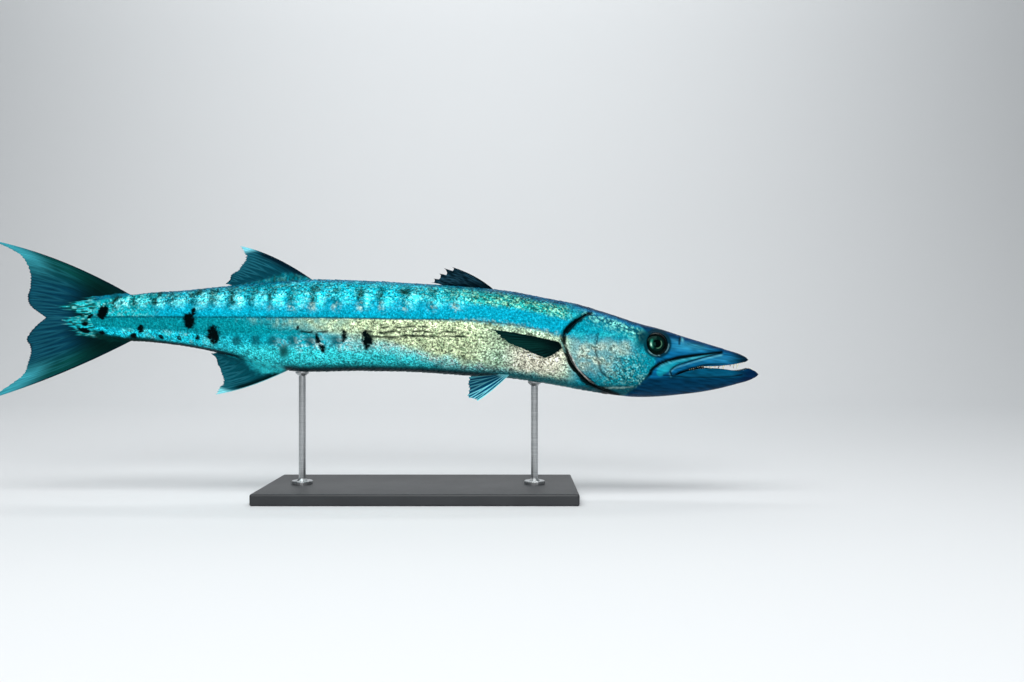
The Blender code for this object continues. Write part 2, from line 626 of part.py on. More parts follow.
def fin_grid(roots, tips, bows, rows, notch):
    """Rays as curves from root to tip, with a membrane column between each two.

    Each ray is a straight line bowed sideways in the fin's plane by a parabola. A membrane column
    runs midway and stops short of the tips by the notch's share.
    """
    roots, tips, bows = np.array(roots, float), np.array(tips, float), np.array(bows, float)
    between_roots = 0.5 * (roots[1:] + roots[:-1])
    between_tips = 0.5 * (tips[1:] + tips[:-1])
    between_bows = 0.5 * (bows[1:] + bows[:-1])
    between_tips += (between_roots - between_tips) * np.broadcast_to(notch, len(roots) - 1)[:, None]
    count = 2 * len(roots) - 1
    start, end, bow = np.empty((count, 3)), np.empty((count, 3)), np.empty((count, 3))
    start[::2], start[1::2] = roots, between_roots
    end[::2], end[1::2] = tips, between_tips
    bow[::2], bow[1::2] = bows, between_bows
    s = np.linspace(0, 1, rows)[:, None, None]
    return start + (end - start) * s + bow * 4 * s * (1 - s)


def fin_halves(grid, root_half=None, root_fade=0.3):
    """Half thickness at each grid point: ridged along the rays, and swelling at the fleshy root."""
    rows, columns = grid.shape[:2]
    s = np.linspace(0, 1, rows)[:, None]
    ray = RAY[0] + (RAY[1] - RAY[0]) * s
    skin = MEMBRANE[0] + (MEMBRANE[1] - MEMBRANE[0]) * s
    half = 0.5 * np.where(np.arange(columns)[None, :] % 2 == 0, ray, skin)
    if root_half is not None:
        swell = np.clip(1 - s / root_fade, 0, 1) ** 1.5
        half = np.maximum(half, np.asarray(root_half)[None, :] * swell)
    return half


def flat_fin(name, roots, tips, bows, rows, notch=0.04, root_half=None, root_fade=0.3, paint=FIN_SKIN):
    """Fin in the middle plane; roots, tips and bows are places along and heights from the level."""
    def upright(points, base):
        points = np.array(points, float)
        return np.stack([points[:, 0], 0 * points[:, 0], points[:, 1] + base], -1)
    grid = fin_grid(upright(roots, LEVEL), upright(tips, LEVEL), upright(bows, 0), rows, notch)
    if root_half is not None:
        spots = np.linspace(0, 1, len(root_half))
        root_half = np.interp(np.linspace(0, 1, grid.shape[1]), spots, root_half)
    half = fin_halves(grid, root_half, root_fade)
    offset = np.stack([0 * half, half, 0 * half], -1)
    return slab(name, grid - offset, grid + offset, paint)


def paired_fin(name, side, roots, tips, bows, rows, paint, notch=0.04):
    """Fin off the right flank or its mirror image; its thickness follows the bent sheet's normal."""
    grid = fin_grid(roots, tips, bows, rows, notch)
    along = np.gradient(grid, axis=0)
    across = np.gradient(grid, axis=1)
    normal = np.cross(along, across)
    normal /= np.linalg.norm(normal, axis=2)[..., None]
    half = fin_halves(grid)[..., None]
    front = (grid - normal * half) * (1, -side, 1)
    back = (grid + normal * half) * (1, -side, 1)
    return slab(name, front, back, paint)


def rooted(line, places, clearance):
    """Fin roots along the back or the belly, off the skin by the clearance."""
    return [(x, float(smooth(line, x)) + clearance) for x in places]


def first_dorsal():
    """Five short spines folded back, with a deeply notched membrane."""
    roots = rooted(BACK_LINE, FIRST_DORSAL_ROOTS, GAP)
    return flat_fin("first_dorsal_fin", roots, FIRST_DORSAL_TIPS, FIRST_DORSAL_BOWS, 8, FIRST_DORSAL_NOTCH)


def second_dorsal():
    """Soft fin: a high leading lobe, a hollow rear margin and a scaled sheath along its root."""
    roots = rooted(BACK_LINE, np.linspace(*SECOND_DORSAL_ROOTS, len(SECOND_DORSAL_TIPS)), GAP)
    return flat_fin("second_dorsal_fin", roots, SECOND_DORSAL_TIPS, SECOND_DORSAL_BOWS, 9,
                    root_half=SHEATH, root_fade=SHEATH_FADE)


def anal_fin():
    """Fin under the tail, the second dorsal's like turned over."""
    roots = rooted(BELLY_LINE, np.linspace(*ANAL_ROOTS, len(ANAL_TIPS)), -GAP)
    return flat_fin("anal_fin", roots, ANAL_TIPS, ANAL_BOWS, 9, root_half=SHEATH, root_fade=SHEATH_FADE)


def caudal_lobe(name, first_turn, tips, bow):
    """One lobe of the forked tail fin, from its leading edge to the middle of the stalk's end."""
    turns = np.linspace(first_turn, 0.5, len(tips))
    ends = section_point(fin_root_x(turns), turns)
    step = 1e-3
    ahead = section_point(fin_root_x(turns + step), turns + step)
    behind = section_point(fin_root_x(turns - step), turns - step)
    heading = (ahead - behind)[:, [0, 2]]
    heading /= np.linalg.norm(heading, axis=1)[:, None]
    away = np.stack([-np.abs(heading[:, 1]), np.sign(0.5 - first_turn) * np.abs(heading[:, 0])], -1)
    roots = ends[:, [0, 2]] - (0, LEVEL) + away * GAP
    roots[-1, 1] += np.sign(0.5 - first_turn) * 0.5 * GAP
    root_half = np.maximum(-ends[:, 1] * 0.92, 0.0008)
    bows = [(0, bow * (1 - i / (len(tips) - 1)) ** 1.5) for i in range(len(tips))]
    return flat_fin(name, roots, tips, bows, 9, root_half=root_half, root_fade=CAUDAL_FADE)


def caudal_fin():
    caudal_lobe("caudal_upper_lobe", CAUDAL_UPPER_TURN, CAUDAL_UPPER_TIPS, CAUDAL_UPPER_BOW)
    caudal_lobe("caudal_lower_lobe", CAUDAL_LOWER_TURN, CAUDAL_LOWER_TIPS, CAUDAL_LOWER_BOW)


def pectoral_fin(name, side):
    """Short blade behind the gill opening, swept back along the flank and a little away from it."""
    roots = [flank_point(x, z, PECTORAL_ROOT_LIFT) for x, z in PECTORAL_ROOTS]
    tips = [flank_point(x, z, lift) for (x, z), lift in zip(PECTORAL_TIPS, PECTORAL_AWAY)]
    bows = [(0, -0.0025, 0.0015 - 0.0008 * i) for i in range(len(tips))]
    return paired_fin(name, side, roots, tips, bows, 9, FIN_SKIN)


def pelvic_fin(name, side):
    """Small fan under the belly, splayed outwards and back."""
    roots = [section_point(x, PELVIC_TURN, PELVIC_ROOT_LIFT) for x in PELVIC_ROOTS]
    tips = [(x, y, z + LEVEL) for x, y, z in PELVIC_TIPS]
    bows = [(0, -0.0010, -0.0020 + 0.0004 * i) for i in range(len(tips))]
    return paired_fin(name, side, roots, tips, bows, 8, PALE_FIN)


def stand_base():
    """Flat plate with bevelled edges."""
    shape = bmesh.new()
    bmesh.ops.create_cube(shape, size=1)
    for vertex in shape.verts:
        vertex.co = [a * b for a, b in zip(vertex.co, BASE_SIZE)]
    mesh = bpy.data.meshes.new("stand_base")
    shape.to_mesh(mesh)
    shape.free()
    mesh.materials.append(BASE_PAINT)
    base = bpy.data.objects.new("stand_base", mesh)
    base.location = (BASE_CENTRE_X, 0, BASE_SIZE[2] / 2)
    bevel = base.modifiers.new("edges", "BEVEL")
    bevel.width = BASE_BEVEL
    bevel.segments = 2
    MODEL.objects.link(base)


def belly_cutter():
    """The trunk's own form swollen by the gap, which hollows the saddles to fit the belly."""
    x = np.linspace(-0.140, NECK_X, 24)[:, None]
    turns = np.linspace(0, 1, 33)[None, :]
    return loft("belly_cutter", section_point(x, turns, 2 * GAP), SKIN, CUTTERS)


def stand_rod(name, x):
    """Turned rod with a round foot on the base and a small saddle under the belly."""
    foot = BASE_SIZE[2] + GAP
    belly = LEVEL + float(smooth(BELLY_LINE, x))
    profile = [(0.0, belly + 0.010), (SADDLE_RADIUS, belly + 0.010), (SADDLE_RADIUS, belly - 0.002),
               (ROD_RADIUS, belly - SADDLE_HEIGHT), (ROD_RADIUS, foot + FOOT_HEIGHT + 0.003),
               (ROD_RADIUS + 0.003, foot + FOOT_HEIGHT), (FOOT_RADIUS - 0.001, foot + FOOT_HEIGHT),
               (FOOT_RADIUS, foot + FOOT_HEIGHT - 0.001), (FOOT_RADIUS, foot), (0.0, foot)]
    mesh = bpy.data.meshes.new(name)
    mesh.from_pydata([(r, 0, z) for r, z in profile], [(i, i + 1) for i in range(len(profile) - 1)], [])
    mesh.materials.append(ROD_STEEL)
    rod = bpy.data.objects.new(name, mesh)
    rod.location = (x, 0, 0)
    turned = rod.modifiers.new("turned", "SCREW")
    turned.steps = 20
    turned.render_steps = 20
    turned.use_merge_vertices = True
    turned.merge_threshold = 0.00001
    MODEL.objects.link(rod)
    rod.data = evaluated_mesh(rod)
    rod.modifiers.clear()
    combine(rod, [belly_cutter()], "DIFFERENCE")
    shade(rod)


def build():
    body_length("trunk_rear", TAIL_X, MIDDLE_X, 13)
    body_length("trunk_front", MIDDLE_X, NECK_X, 15)
    tail_stalk()
    finish_head(head_solid())
    jaw = lower_jaw_solid()
    combine(jaw, teeth(True), "UNION")
    shade(jaw)
    for label, side in (("right", -1), ("left", 1)):
        gill_cover(f"gill_cover_{label}", side)
        maxilla(f"maxilla_{label}", side)
        eye(f"eye_{label}", side)
        pectoral_fin(f"pectoral_fin_{label}", side)
        pelvic_fin(f"pelvic_fin_{label}", side)
    first_dorsal()
    second_dorsal()
    anal_fin()
    caudal_fin()
    stand_base()
    for label, x in ROD_PLACES.items():
        stand_rod(f"stand_rod_{label}", x)


build()
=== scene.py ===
"""A great barracuda as a life-size museum model on a plain stand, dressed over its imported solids.

Metres, +Z up, head towards +X, right side towards -Y. Heights on the fish are given from its level
line, which runs LEVEL above the floor.
"""

import bmesh
import bpy
import numpy as np
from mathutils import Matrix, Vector


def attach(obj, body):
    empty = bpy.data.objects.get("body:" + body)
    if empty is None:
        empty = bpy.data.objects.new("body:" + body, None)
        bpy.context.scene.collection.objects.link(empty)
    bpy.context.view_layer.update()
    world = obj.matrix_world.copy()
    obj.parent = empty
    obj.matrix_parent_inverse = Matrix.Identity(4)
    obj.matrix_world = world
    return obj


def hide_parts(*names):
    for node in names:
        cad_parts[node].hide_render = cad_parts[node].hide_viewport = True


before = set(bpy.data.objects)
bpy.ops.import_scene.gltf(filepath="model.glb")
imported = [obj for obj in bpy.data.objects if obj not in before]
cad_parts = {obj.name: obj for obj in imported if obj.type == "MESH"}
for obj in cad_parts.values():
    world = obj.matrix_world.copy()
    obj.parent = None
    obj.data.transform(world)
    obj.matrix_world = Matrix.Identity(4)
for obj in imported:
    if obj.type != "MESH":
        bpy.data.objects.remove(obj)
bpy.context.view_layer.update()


# Stand base: a flat aluminium plate with eased edges, powder coated black. It lies flat under the
# middle of the fish and is the solid's own shape; the baked coat leaves a fine, dull grain.


def linear(code):
    """Linear colour of an sRGB hex code: c / 12.92 when small, else ((c + 0.055) / 1.055) ** 2.4."""
    c = np.array([int(code[i:i + 2], 16) for i in (1, 3, 5)]) / 255
    return np.where(c <= 0.04045, c / 12.92, ((c + 0.055) / 1.055) ** 2.4)


def paint(code):
    """Hex code as the four numbers that a colour socket takes."""
    return (*linear(code), 1.0)


def add(tree, kind, inputs=None, stops=None, **settings):
    """Add a node. Settings name its properties, and inputs its sockets by name or number, each with
    a value or another node's output. Stops are the places and colours of a ramp."""
    node = tree.nodes.new(kind)
    for name, value in settings.items():
        setattr(node, name, value)
    for socket, value in (inputs or {}).items():
        if isinstance(value, bpy.types.NodeSocket):
            tree.links.new(value, node.inputs[socket])
        else:
            node.inputs[socket].default_value = value
    for number, (place, code) in enumerate(stops or ()):
        ramp = node.color_ramp.elements
        stop = ramp[number] if number < 2 else ramp.new(place)
        stop.position, stop.color = place, paint(code)
    return node


def blank_material(name):
    """A material whose node tree is empty."""
    made = bpy.data.materials.new(name)
    made.use_nodes = True
    made.node_tree.nodes.clear()
    return made, made.node_tree


# Powder coat: baked polyester over metal. Its orange-peel grain is about 0.4 mm in life and is drawn
# 1.5 mm across so that it shows.
PEEL = 0.0015
powder_coat, tree = blank_material("powder_coated_aluminium")
spot = add(tree, "ShaderNodeTexCoord")
peel = add(tree, "ShaderNodeTexNoise", {"Vector": spot.outputs["Object"], "Scale": 1 / PEEL, "Detail": 3.0})
dust = add(tree, "ShaderNodeTexNoise", {"Vector": spot.outputs["Object"], "Scale": 14.0, "Detail": 4.0})
tone = add(tree, "ShaderNodeValToRGB", {"Fac": dust.outputs["Fac"]}, stops=[(0.3, "#202326"), (0.75, "#2B2E31")])
dull = add(tree, "ShaderNodeMapRange", {"Value": dust.outputs["Fac"], "To Min": 0.42, "To Max": 0.58})
bumps = add(tree, "ShaderNodeBump", {"Height": peel.outputs["Fac"], "Strength": 0.25, "Distance": 0.0003})
coat = add(tree, "ShaderNodeBsdfPrincipled", {"Base Color": tone.outputs["Color"], "Roughness": dull.outputs["Result"],
                                              "Normal": bumps.outputs["Normal"]})
add(tree, "ShaderNodeOutputMaterial", {"Surface": coat.outputs["BSDF"]})
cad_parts["stand_base"].data.materials[0] = powder_coat


# Stand rods: turned stainless steel, each with a round foot screwed to the base from below and a
# small saddle shaped to the belly. Fine rings from the lathe and the abrasive band run round them.
RING_PITCH = 0.0012
brushed_steel, tree = blank_material("brushed_stainless_steel")
spot = add(tree, "ShaderNodeTexCoord")
stretch = add(tree, "ShaderNodeMapping", {"Vector": spot.outputs["Object"], "Scale": (20.0, 20.0, 1 / RING_PITCH)})
rings = add(tree, "ShaderNodeTexNoise", {"Vector": stretch.outputs["Vector"], "Scale": 1.0, "Detail": 3.0})
tone = add(tree, "ShaderNodeValToRGB", {"Fac": rings.outputs["Fac"]}, stops=[(0.3, "#A9ACAE"), (0.7, "#C9CBCC")])
dull = add(tree, "ShaderNodeMapRange", {"Value": rings.outputs["Fac"], "To Min": 0.24, "To Max": 0.40})
bumps = add(tree, "ShaderNodeBump", {"Height": rings.outputs["Fac"], "Strength": 0.15, "Distance": 0.0002})
steel = add(tree, "ShaderNodeBsdfPrincipled", {"Base Color": tone.outputs["Color"], "Metallic": 1.0,
                                               "Roughness": dull.outputs["Result"], "Normal": bumps.outputs["Normal"]})
add(tree, "ShaderNodeOutputMaterial", {"Surface": steel.outputs["BSDF"]})
for rod in ("stand_rod_front", "stand_rod_rear"):
    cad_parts[rod].data.materials[0] = brushed_steel


# Body form: the fish's flesh under its skin, given by the lines of the back, the belly and the widest
# place, and by the half width along the body. Skin, scales and fins are all laid out on it.
LEVEL = 0.220
BACK_LINE = [(-0.402, 0.0570), (-0.361, 0.0636), (-0.318, 0.0690), (-0.275, 0.0718), (-0.208, 0.0785),
             (-0.146, 0.0842), (-0.086, 0.0878), (-0.018, 0.0865), (0.060, 0.0824), (0.150, 0.0762),
             (0.196, 0.0714), (0.240, 0.0630), (0.290, 0.0532), (0.333, 0.0409), (0.376, 0.0267),
             (0.440, 0.0077), (0.504, -0.0120), (0.529, -0.0205), (0.5345, -0.0236), (0.537, -0.0262)]
BELLY_LINE = [(-0.402, 0.0105), (-0.361, 0.0014), (-0.325, -0.0010), (-0.275, -0.0064), (-0.225, -0.0157),
              (-0.181, -0.0272), (-0.146, -0.0385), (-0.118, -0.0425), (-0.018, -0.0429), (0.060, -0.0445),
              (0.140, -0.0498), (0.196, -0.0532), (0.240, -0.0593), (0.311, -0.0719), (0.354, -0.0784),
              (0.380, -0.0799), (0.440, -0.0764), (0.483, -0.0705), (0.519, -0.0619), (0.544, -0.0538),
              (0.5492, -0.0508), (0.552, -0.0482)]
HALF_WIDTH = [(-0.402, 0.0036), (-0.361, 0.0115), (-0.318, 0.0195), (-0.275, 0.0262), (-0.208, 0.0340),
              (-0.146, 0.0405), (-0.086, 0.0450), (-0.018, 0.0478), (0.060, 0.0492), (0.150, 0.0495),
              (0.240, 0.0475), (0.311, 0.0455), (0.345, 0.0430), (0.372, 0.0385), (0.404, 0.0325),
              (0.440, 0.0257), (0.483, 0.0195), (0.510, 0.0150), (0.529, 0.0090), (0.5345, 0.0050),
              (0.537, 0.0022)]
JAW_HALF_WIDTH = [(0.372, 0.0385), (0.404, 0.0320), (0.440, 0.0246), (0.483, 0.0182), (0.519, 0.0130),
                  (0.540, 0.0085), (0.548, 0.0055), (0.552, 0.0022)]
WIDEST_LINE = [(-0.402, 0.0335), (-0.275, 0.0340), (-0.146, 0.0250), (-0.018, 0.0220), (0.093, 0.0180),
               (0.196, 0.0080), (0.290, -0.0100), (0.372, -0.0200), (0.440, -0.0320), (0.483, -0.0345),
               (0.519, -0.0310), (0.537, -0.0272)]
JAW_WIDEST_LINE = [(0.372, -0.0200), (0.440, -0.0320), (0.483, -0.0375), (0.519, -0.0405), (0.537, -0.0385),
                   (0.552, -0.0480)]
ROUNDNESS = [(-0.402, 2.0), (-0.018, 2.15), (0.240, 2.25), (0.372, 2.5), (0.440, 2.4), (0.552, 2.1)]


def smooth(line, x):
    """Cubic curve through the line's points: Hermite pieces whose slopes are central differences."""
    places, values = np.array(line).T
    slopes = np.gradient(values, places)
    x = np.clip(x, places[0], places[-1])
    i = np.clip(np.searchsorted(places, x) - 1, 0, len(places) - 2)
    step = places[i + 1] - places[i]
    t = (x - places[i]) / step
    start = (1 + 2 * t) * (1 - t) ** 2 * values[i] + t * (1 - t) ** 2 * step * slopes[i]
    end = t * t * (3 - 2 * t) * values[i + 1] + t * t * (t - 1) * step * slopes[i + 1]
    return start + end


def curve(points, count):
    """Smooth curve through points, worked out coordinate by coordinate against their number."""
    points = np.array(points, float)
    t = np.linspace(0, len(points) - 1, count)
    return np.stack([smooth(list(enumerate(column)), t) for column in points.T], -1)


def ease(low, high, value):
    """Smooth step: 0 below low, 1 above high, and 3tt - 2ttt between."""
    t = np.clip((value - low) / (high - low), 0, 1)
    return t * t * (3 - 2 * t)


def section_point(x, turn, lift=0.0, jaw=False):
    """Point on the right side of the section at x, turn 0 at the back to 1 at the belly.

    Above and below the widest place the section is a quarter of a superellipse, |y/w|^p + |z/h|^p = 1,
    and the point is lifted along the section's normal.
    """
    x, turn, lift = np.broadcast_arrays(np.asarray(x, float), turn, lift)
    angle = np.pi * (0.5 - turn)
    width = smooth(JAW_HALF_WIDTH if jaw else HALF_WIDTH, x)
    middle = smooth(JAW_WIDEST_LINE if jaw else WIDEST_LINE, x)
    reach = np.where(angle >= 0, smooth(BACK_LINE, x) - middle, middle - smooth(BELLY_LINE, x))
    power = smooth(ROUNDNESS, x)
    across = np.clip(np.cos(angle), 0, 1) ** (2 / power)
    rise = np.sign(angle) * np.abs(np.sin(angle)) ** (2 / power)
    normal_y = across ** (power - 1) / width
    normal_z = np.sign(rise) * np.abs(rise) ** (power - 1) / reach
    length = np.hypot(normal_y, normal_z)
    y = -(width * across + lift * normal_y / length)
    z = LEVEL + middle + reach * rise + lift * normal_z / length
    return np.stack([x, y, z], -1)


def turn_at_height(x, height, jaw=False):
    """Turn at which a section comes down to a height below its widest place: the rise's inverse."""
    middle = smooth(JAW_WIDEST_LINE if jaw else WIDEST_LINE, x)
    share = np.clip((middle - height) / (middle - smooth(BELLY_LINE, x)), 0, 1)
    return 0.5 + np.arcsin(share ** (smooth(ROUNDNESS, x) / 2)) / np.pi


def flank_point(x, height, lift=0.0):
    """Point on the right flank at a place along the body and a height, found by interpolation."""
    turns = np.linspace(0.02, 0.98, 193)
    sides = section_point(np.full_like(turns, x), turns, lift)
    return section_point(x, np.interp(-(height + LEVEL), -sides[:, 2], turns), lift)


def line_distance(line, x, h):
    """Distance in the side view from each point to the nearest of a line's straight pieces."""
    best = np.full(np.shape(x), np.inf)
    for (ax, ah), (bx, bh) in zip(line[:-1], line[1:]):
        dx, dh = bx - ax, bh - ah
        t = np.clip(((x - ax) * dx + (h - ah) * dh) / (dx * dx + dh * dh), 0, 1)
        best = np.minimum(best, np.hypot(x - ax - t * dx, h - ah - t * dh))
    return best


# Head relief: the plates and folds that lie under the head's skin. The gill cover stands off the
# shoulder with a free edge, the maxilla lies in a groove behind the snout, the eye sits in a socket.
GILL_EDGE = [(0.0, 0.340), (0.10, 0.329), (0.176, 0.3133), (0.24, 0.3028), (0.292, 0.2950), (0.348, 0.2862),
             (0.414, 0.2774), (0.465, 0.2735), (0.505, 0.2755), (0.583, 0.2830), (0.634, 0.2883),
             (0.693, 0.2983), (0.758, 0.3095), (0.81, 0.3229), (0.851, 0.3360), (0.90, 0.3490), (1.0, 0.3560)]
# From the shoulder down into the slit, round under the cover's edge and out on to the cover:
# distance forward of the edge and height off the skin.
GILL_SLIT = [(-0.0125, 0.0), (-0.0105, 0.0), (-0.0090, -0.0003), (-0.0078, -0.0010), (-0.0068, -0.0024),
             (-0.0060, -0.0042), (-0.0048, -0.0060), (-0.0028, -0.0070), (0.0, -0.0072), (0.0024, -0.0066),
             (0.0036, -0.0050), (0.0034, -0.0034), (0.0022, -0.0024), (0.0008, -0.0018), (-0.0003, -0.0011),
             (-0.0006, -0.0003), (-0.0003, 0.0005), (0.0006, 0.0011), (0.0020, 0.0014), (0.0040, 0.0014),
             (0.0070, 0.0011), (0.0110, 0.0006), (0.0160, 0.0)]
COVER_ENDS = (0.175, 0.235, 0.84, 0.93)
EYE_CENTRE = (0.4033, -0.0032)
EYE_RADIUS = 0.0168
EYE_DEPTH = 0.0088
EYE_SINK = 0.0042
PREOPERCLE = curve([(0.3195, 0.0100), (0.3176, 0.0040), (0.3168, -0.0033), (0.3159, -0.0138), (0.3177, -0.0227),
                    (0.3204, -0.0316), (0.3235, -0.0420), (0.3330, -0.0505), (0.3483, -0.0560), (0.3640, -0.0600)], 40)
INTEROPERCLE = curve([(0.3367, -0.0477), (0.3483, -0.0467), (0.3560, -0.0520), (0.3620, -0.0600)], 20)
MAXILLA_GROOVE = curve([(0.4975, -0.0156), (0.4736, -0.0183), (0.4502, -0.0211), (0.4298, -0.0245),
                        (0.4096, -0.0303), (0.3996, -0.0363), (0.3945, -0.0412), (0.3926, -0.0461),
                        (0.3857, -0.0545), (0.3736, -0.0659), (0.3640, -0.0740)], 60)
MAXILLA_SEAM = curve([(0.4967, -0.0173), (0.4778, -0.0212), (0.4602, -0.0256), (0.4443, -0.0301),
                      (0.4298, -0.0349), (0.4218, -0.0418), (0.4235, -0.0470)], 40)
LIP_FOLD = curve([(0.4120, -0.0478), (0.4353, -0.0497), (0.4503, -0.0512), (0.4808, -0.0514), (0.5117, -0.0502),
                  (0.5260, -0.0480)], 40)
SNOUT_FOLD = curve([(0.5280, -0.0235), (0.5080, -0.0205), (0.4900, -0.0160), (0.4650, -0.0095), (0.4480, -0.0040)], 30)
BROW_FOLD = curve([(0.4440, 0.0010), (0.4280, 0.0090), (0.4100, 0.0160), (0.3900, 0.0185), (0.3760, 0.0190)], 30)
NOSTRIL = curve([(0.4378, 0.0046), (0.4366, 0.0005), (0.4357, -0.0042)], 8)
# The mouth: lips of both jaws from its corner forward, and where the head's scales stop in front,
# as heights with places along.
UPPER_LIP = [(0.372, -0.0800), (0.3765, -0.0705), (0.385, -0.0602), (0.3998, -0.0528), (0.4249, -0.0488),
             (0.4398, -0.0428), (0.4558, -0.0380), (0.4700, -0.0351), (0.4957, -0.0336), (0.5112, -0.0333),
             (0.5275, -0.0304), (0.5345, -0.0292), (0.537, -0.0282)]
LOWER_LIP = [(0.372, -0.0805), (0.3765, -0.0710), (0.385, -0.0607), (0.3998, -0.0533), (0.4249, -0.0493),
             (0.4460, -0.0426), (0.4602, -0.0396), (0.4805, -0.0386), (0.5010, -0.0399), (0.5220, -0.0420),
             (0.5305, -0.0405), (0.5370, -0.0389), (0.5425, -0.0414), (0.5485, -0.0440), (0.552, -0.0468)]
MOUTH_CORNER = 0.4249
BARE_EDGE = [(-0.0850, 0.3560), (-0.0740, 0.3640), (-0.0659, 0.3736), (-0.0545, 0.3857), (-0.0461, 0.3926),
             (-0.0360, 0.3985), (-0.0220, 0.4000), (0.0000, 0.3960), (0.0120, 0.3900), (0.0220, 0.3800),
             (0.0320, 0.3700), (0.0600, 0.3600)]
THROAT_FOLDS = [curve([(0.3300, -0.0610), (0.3500, -0.0655), (0.3700, -0.0680)], 12),
                curve([(0.3380, -0.0660), (0.3560, -0.0700), (0.3740, -0.0720)], 12)]


EDGE_TURNS = np.linspace(COVER_ENDS[0], COVER_ENDS[3], 70)
GILL_LINE = section_point(smooth(GILL_EDGE, EDGE_TURNS), EDGE_TURNS)[:, ::2] - (0, LEVEL)


def eye_frame(side):
    """Centre of an eye's opening on the skin and the outward direction, by differences on the flank."""
    x, z = EYE_CENTRE
    along = flank_point(x + 0.010, z) - flank_point(x - 0.010, z)
    up = flank_point(x, z + 0.010) - flank_point(x, z - 0.010)
    out = np.cross(along, up)
    flip = np.array([1, -side, 1])
    return flank_point(x, z) * flip, out / np.linalg.norm(out) * flip


def cover_share(turn):
    """How far the gill cover stands free at each turn: 1 on the flank, 0 at its upper and lower ends."""
    return ease(COVER_ENDS[0], COVER_ENDS[1], turn) * (1 - ease(COVER_ENDS[2], COVER_ENDS[3], turn))


def cover_lift(x, turn):
    """Height of the cover's swollen margin, in front of its free edge."""
    margin = np.array(GILL_SLIT[-6:])
    ahead = x - smooth(GILL_EDGE, turn)
    return np.where(ahead > 0, np.interp(ahead, margin[:, 0], margin[:, 1]), 0) * cover_share(turn)


def maxilla_depth(x, h):
    """How deep a point lies inside the maxilla's outline: its half height less the distance to its
    middle line, which runs between the groove and the seam."""
    middle = curve([(0.4970, -0.0165), (0.4785, -0.0197), (0.4630, -0.0229), (0.4480, -0.0258), (0.4325, -0.0295),
                    (0.4200, -0.0345), (0.4110, -0.0400), (0.4070, -0.0440)], 80)
    half = curve([(0.0006,), (0.0014,), (0.0022,), (0.0032,), (0.0048,), (0.0066,), (0.0072,), (0.0058,)], 80)[:, 0]
    best = np.full(np.shape(x), -0.02)
    near = x > 0.392
    for (mx, mh), reach in zip(middle, half):
        best[near] = np.maximum(best[near], reach - np.hypot(x[near] - mx, h[near] - mh))
    return best


def relief(x, h):
    """Height of the head's folds and plates: a bell-shaped groove or ridge along each line."""
    def groove(line, width, depth):
        return depth * np.exp(-(line_distance(line, x, h) / width) ** 2)
    lift = groove(PREOPERCLE, 0.0016, -0.0010) + groove(PREOPERCLE + (0.0045, 0), 0.0035, 0.0006)
    lift += groove(INTEROPERCLE, 0.0013, -0.0007)
    lift += groove(MAXILLA_GROOVE, 0.0023, -0.0020) + groove(MAXILLA_GROOVE + (0.0015, 0.0042), 0.0022, 0.0006)
    lift += 0.0012 * ease(0.0, 0.0022, maxilla_depth(x, h))
    lift += groove(MAXILLA_SEAM, 0.0011, -0.0012)
    lift += groove(LIP_FOLD, 0.0012, -0.0010) + groove(LIP_FOLD + (0, 0.0035), 0.0025, 0.0006)
    lift += groove(SNOUT_FOLD, 0.0012, -0.0005) + groove(BROW_FOLD, 0.0030, 0.0010)
    lift += groove(NOSTRIL, 0.0013, -0.0024) + groove(NOSTRIL + (0.0026, 0), 0.0012, 0.0005)
    for fold in THROAT_FOLDS:
        lift += groove(fold, 0.0012, -0.0008)
    return lift


def socket_lift(points):
    """Skin sunk under the eyeball, with a low rim round it, against the distance from the eye's centre."""
    centre, _ = eye_frame(-1)
    apart = np.linalg.norm(points - centre, axis=-1)
    rim = 0.0007 * np.exp(-((apart - 0.0172) / 0.0014) ** 2)
    return rim - 0.0042 * (1 - ease(0.0132, 0.0158, apart))


def coat_sink(x, h):
    """Depth at which the skin lies under its scales: 0.4 mm, and none where the head is bare."""
    return 0.0004 * ease(0.004, -0.004, x - smooth(BARE_EDGE, h))


def shape_lift(points):
    """Height of the finished skin over the plain form: relief and socket, less the coat's depth."""
    x, h = points[..., 0], points[..., 2] - LEVEL
    return relief(x, h) * ease(0.29, 0.31, x) + socket_lift(points) - coat_sink(x, h)


def skin_point(x, turn, lift=0.0):
    """Point on the finished skin of body and head behind the mouth's corner, lifted off it."""
    return section_point(x, turn, shape_lift(section_point(x, turn)) + cover_lift(x, turn) + lift)


# Markings: the fish's own colours, laid over skin and scales alike, with painted shade in folds, slit and
# along the belly, and painted glints and sheen. A dark bar-and-patch row runs high on the flank, then a
# bright band, the lateral line, a gilded band, and a few ink-black blotches.
LATERAL_LINE = [(-0.402, 0.0338), (-0.371, 0.0341), (-0.261, 0.0336), (-0.165, 0.0331), (-0.024, 0.0318),
                (0.045, 0.0304), (0.100, 0.0297), (0.142, 0.0283), (0.179, 0.0249), (0.211, 0.0214),
                (0.2455, 0.0138), (0.2704, 0.0076), (0.330, 0.0040), (0.552, -0.0300)]
GILDED_FLOOR = [(-0.402, 0.0300), (-0.179, 0.0265), (-0.094, 0.0180), (-0.024, 0.0055), (0.045, -0.0042),
                (0.127, -0.0300), (0.211, -0.0434), (0.267, -0.0546), (0.330, -0.0600), (0.552, -0.0600)]
BARS = [-0.3650, -0.3370, -0.3073, -0.2790, -0.2480, -0.2217, -0.1927, -0.1646, -0.1367, -0.1068, -0.0786, -0.0448, -0.0114,
        0.0193, 0.0512, 0.0887, 0.1206]
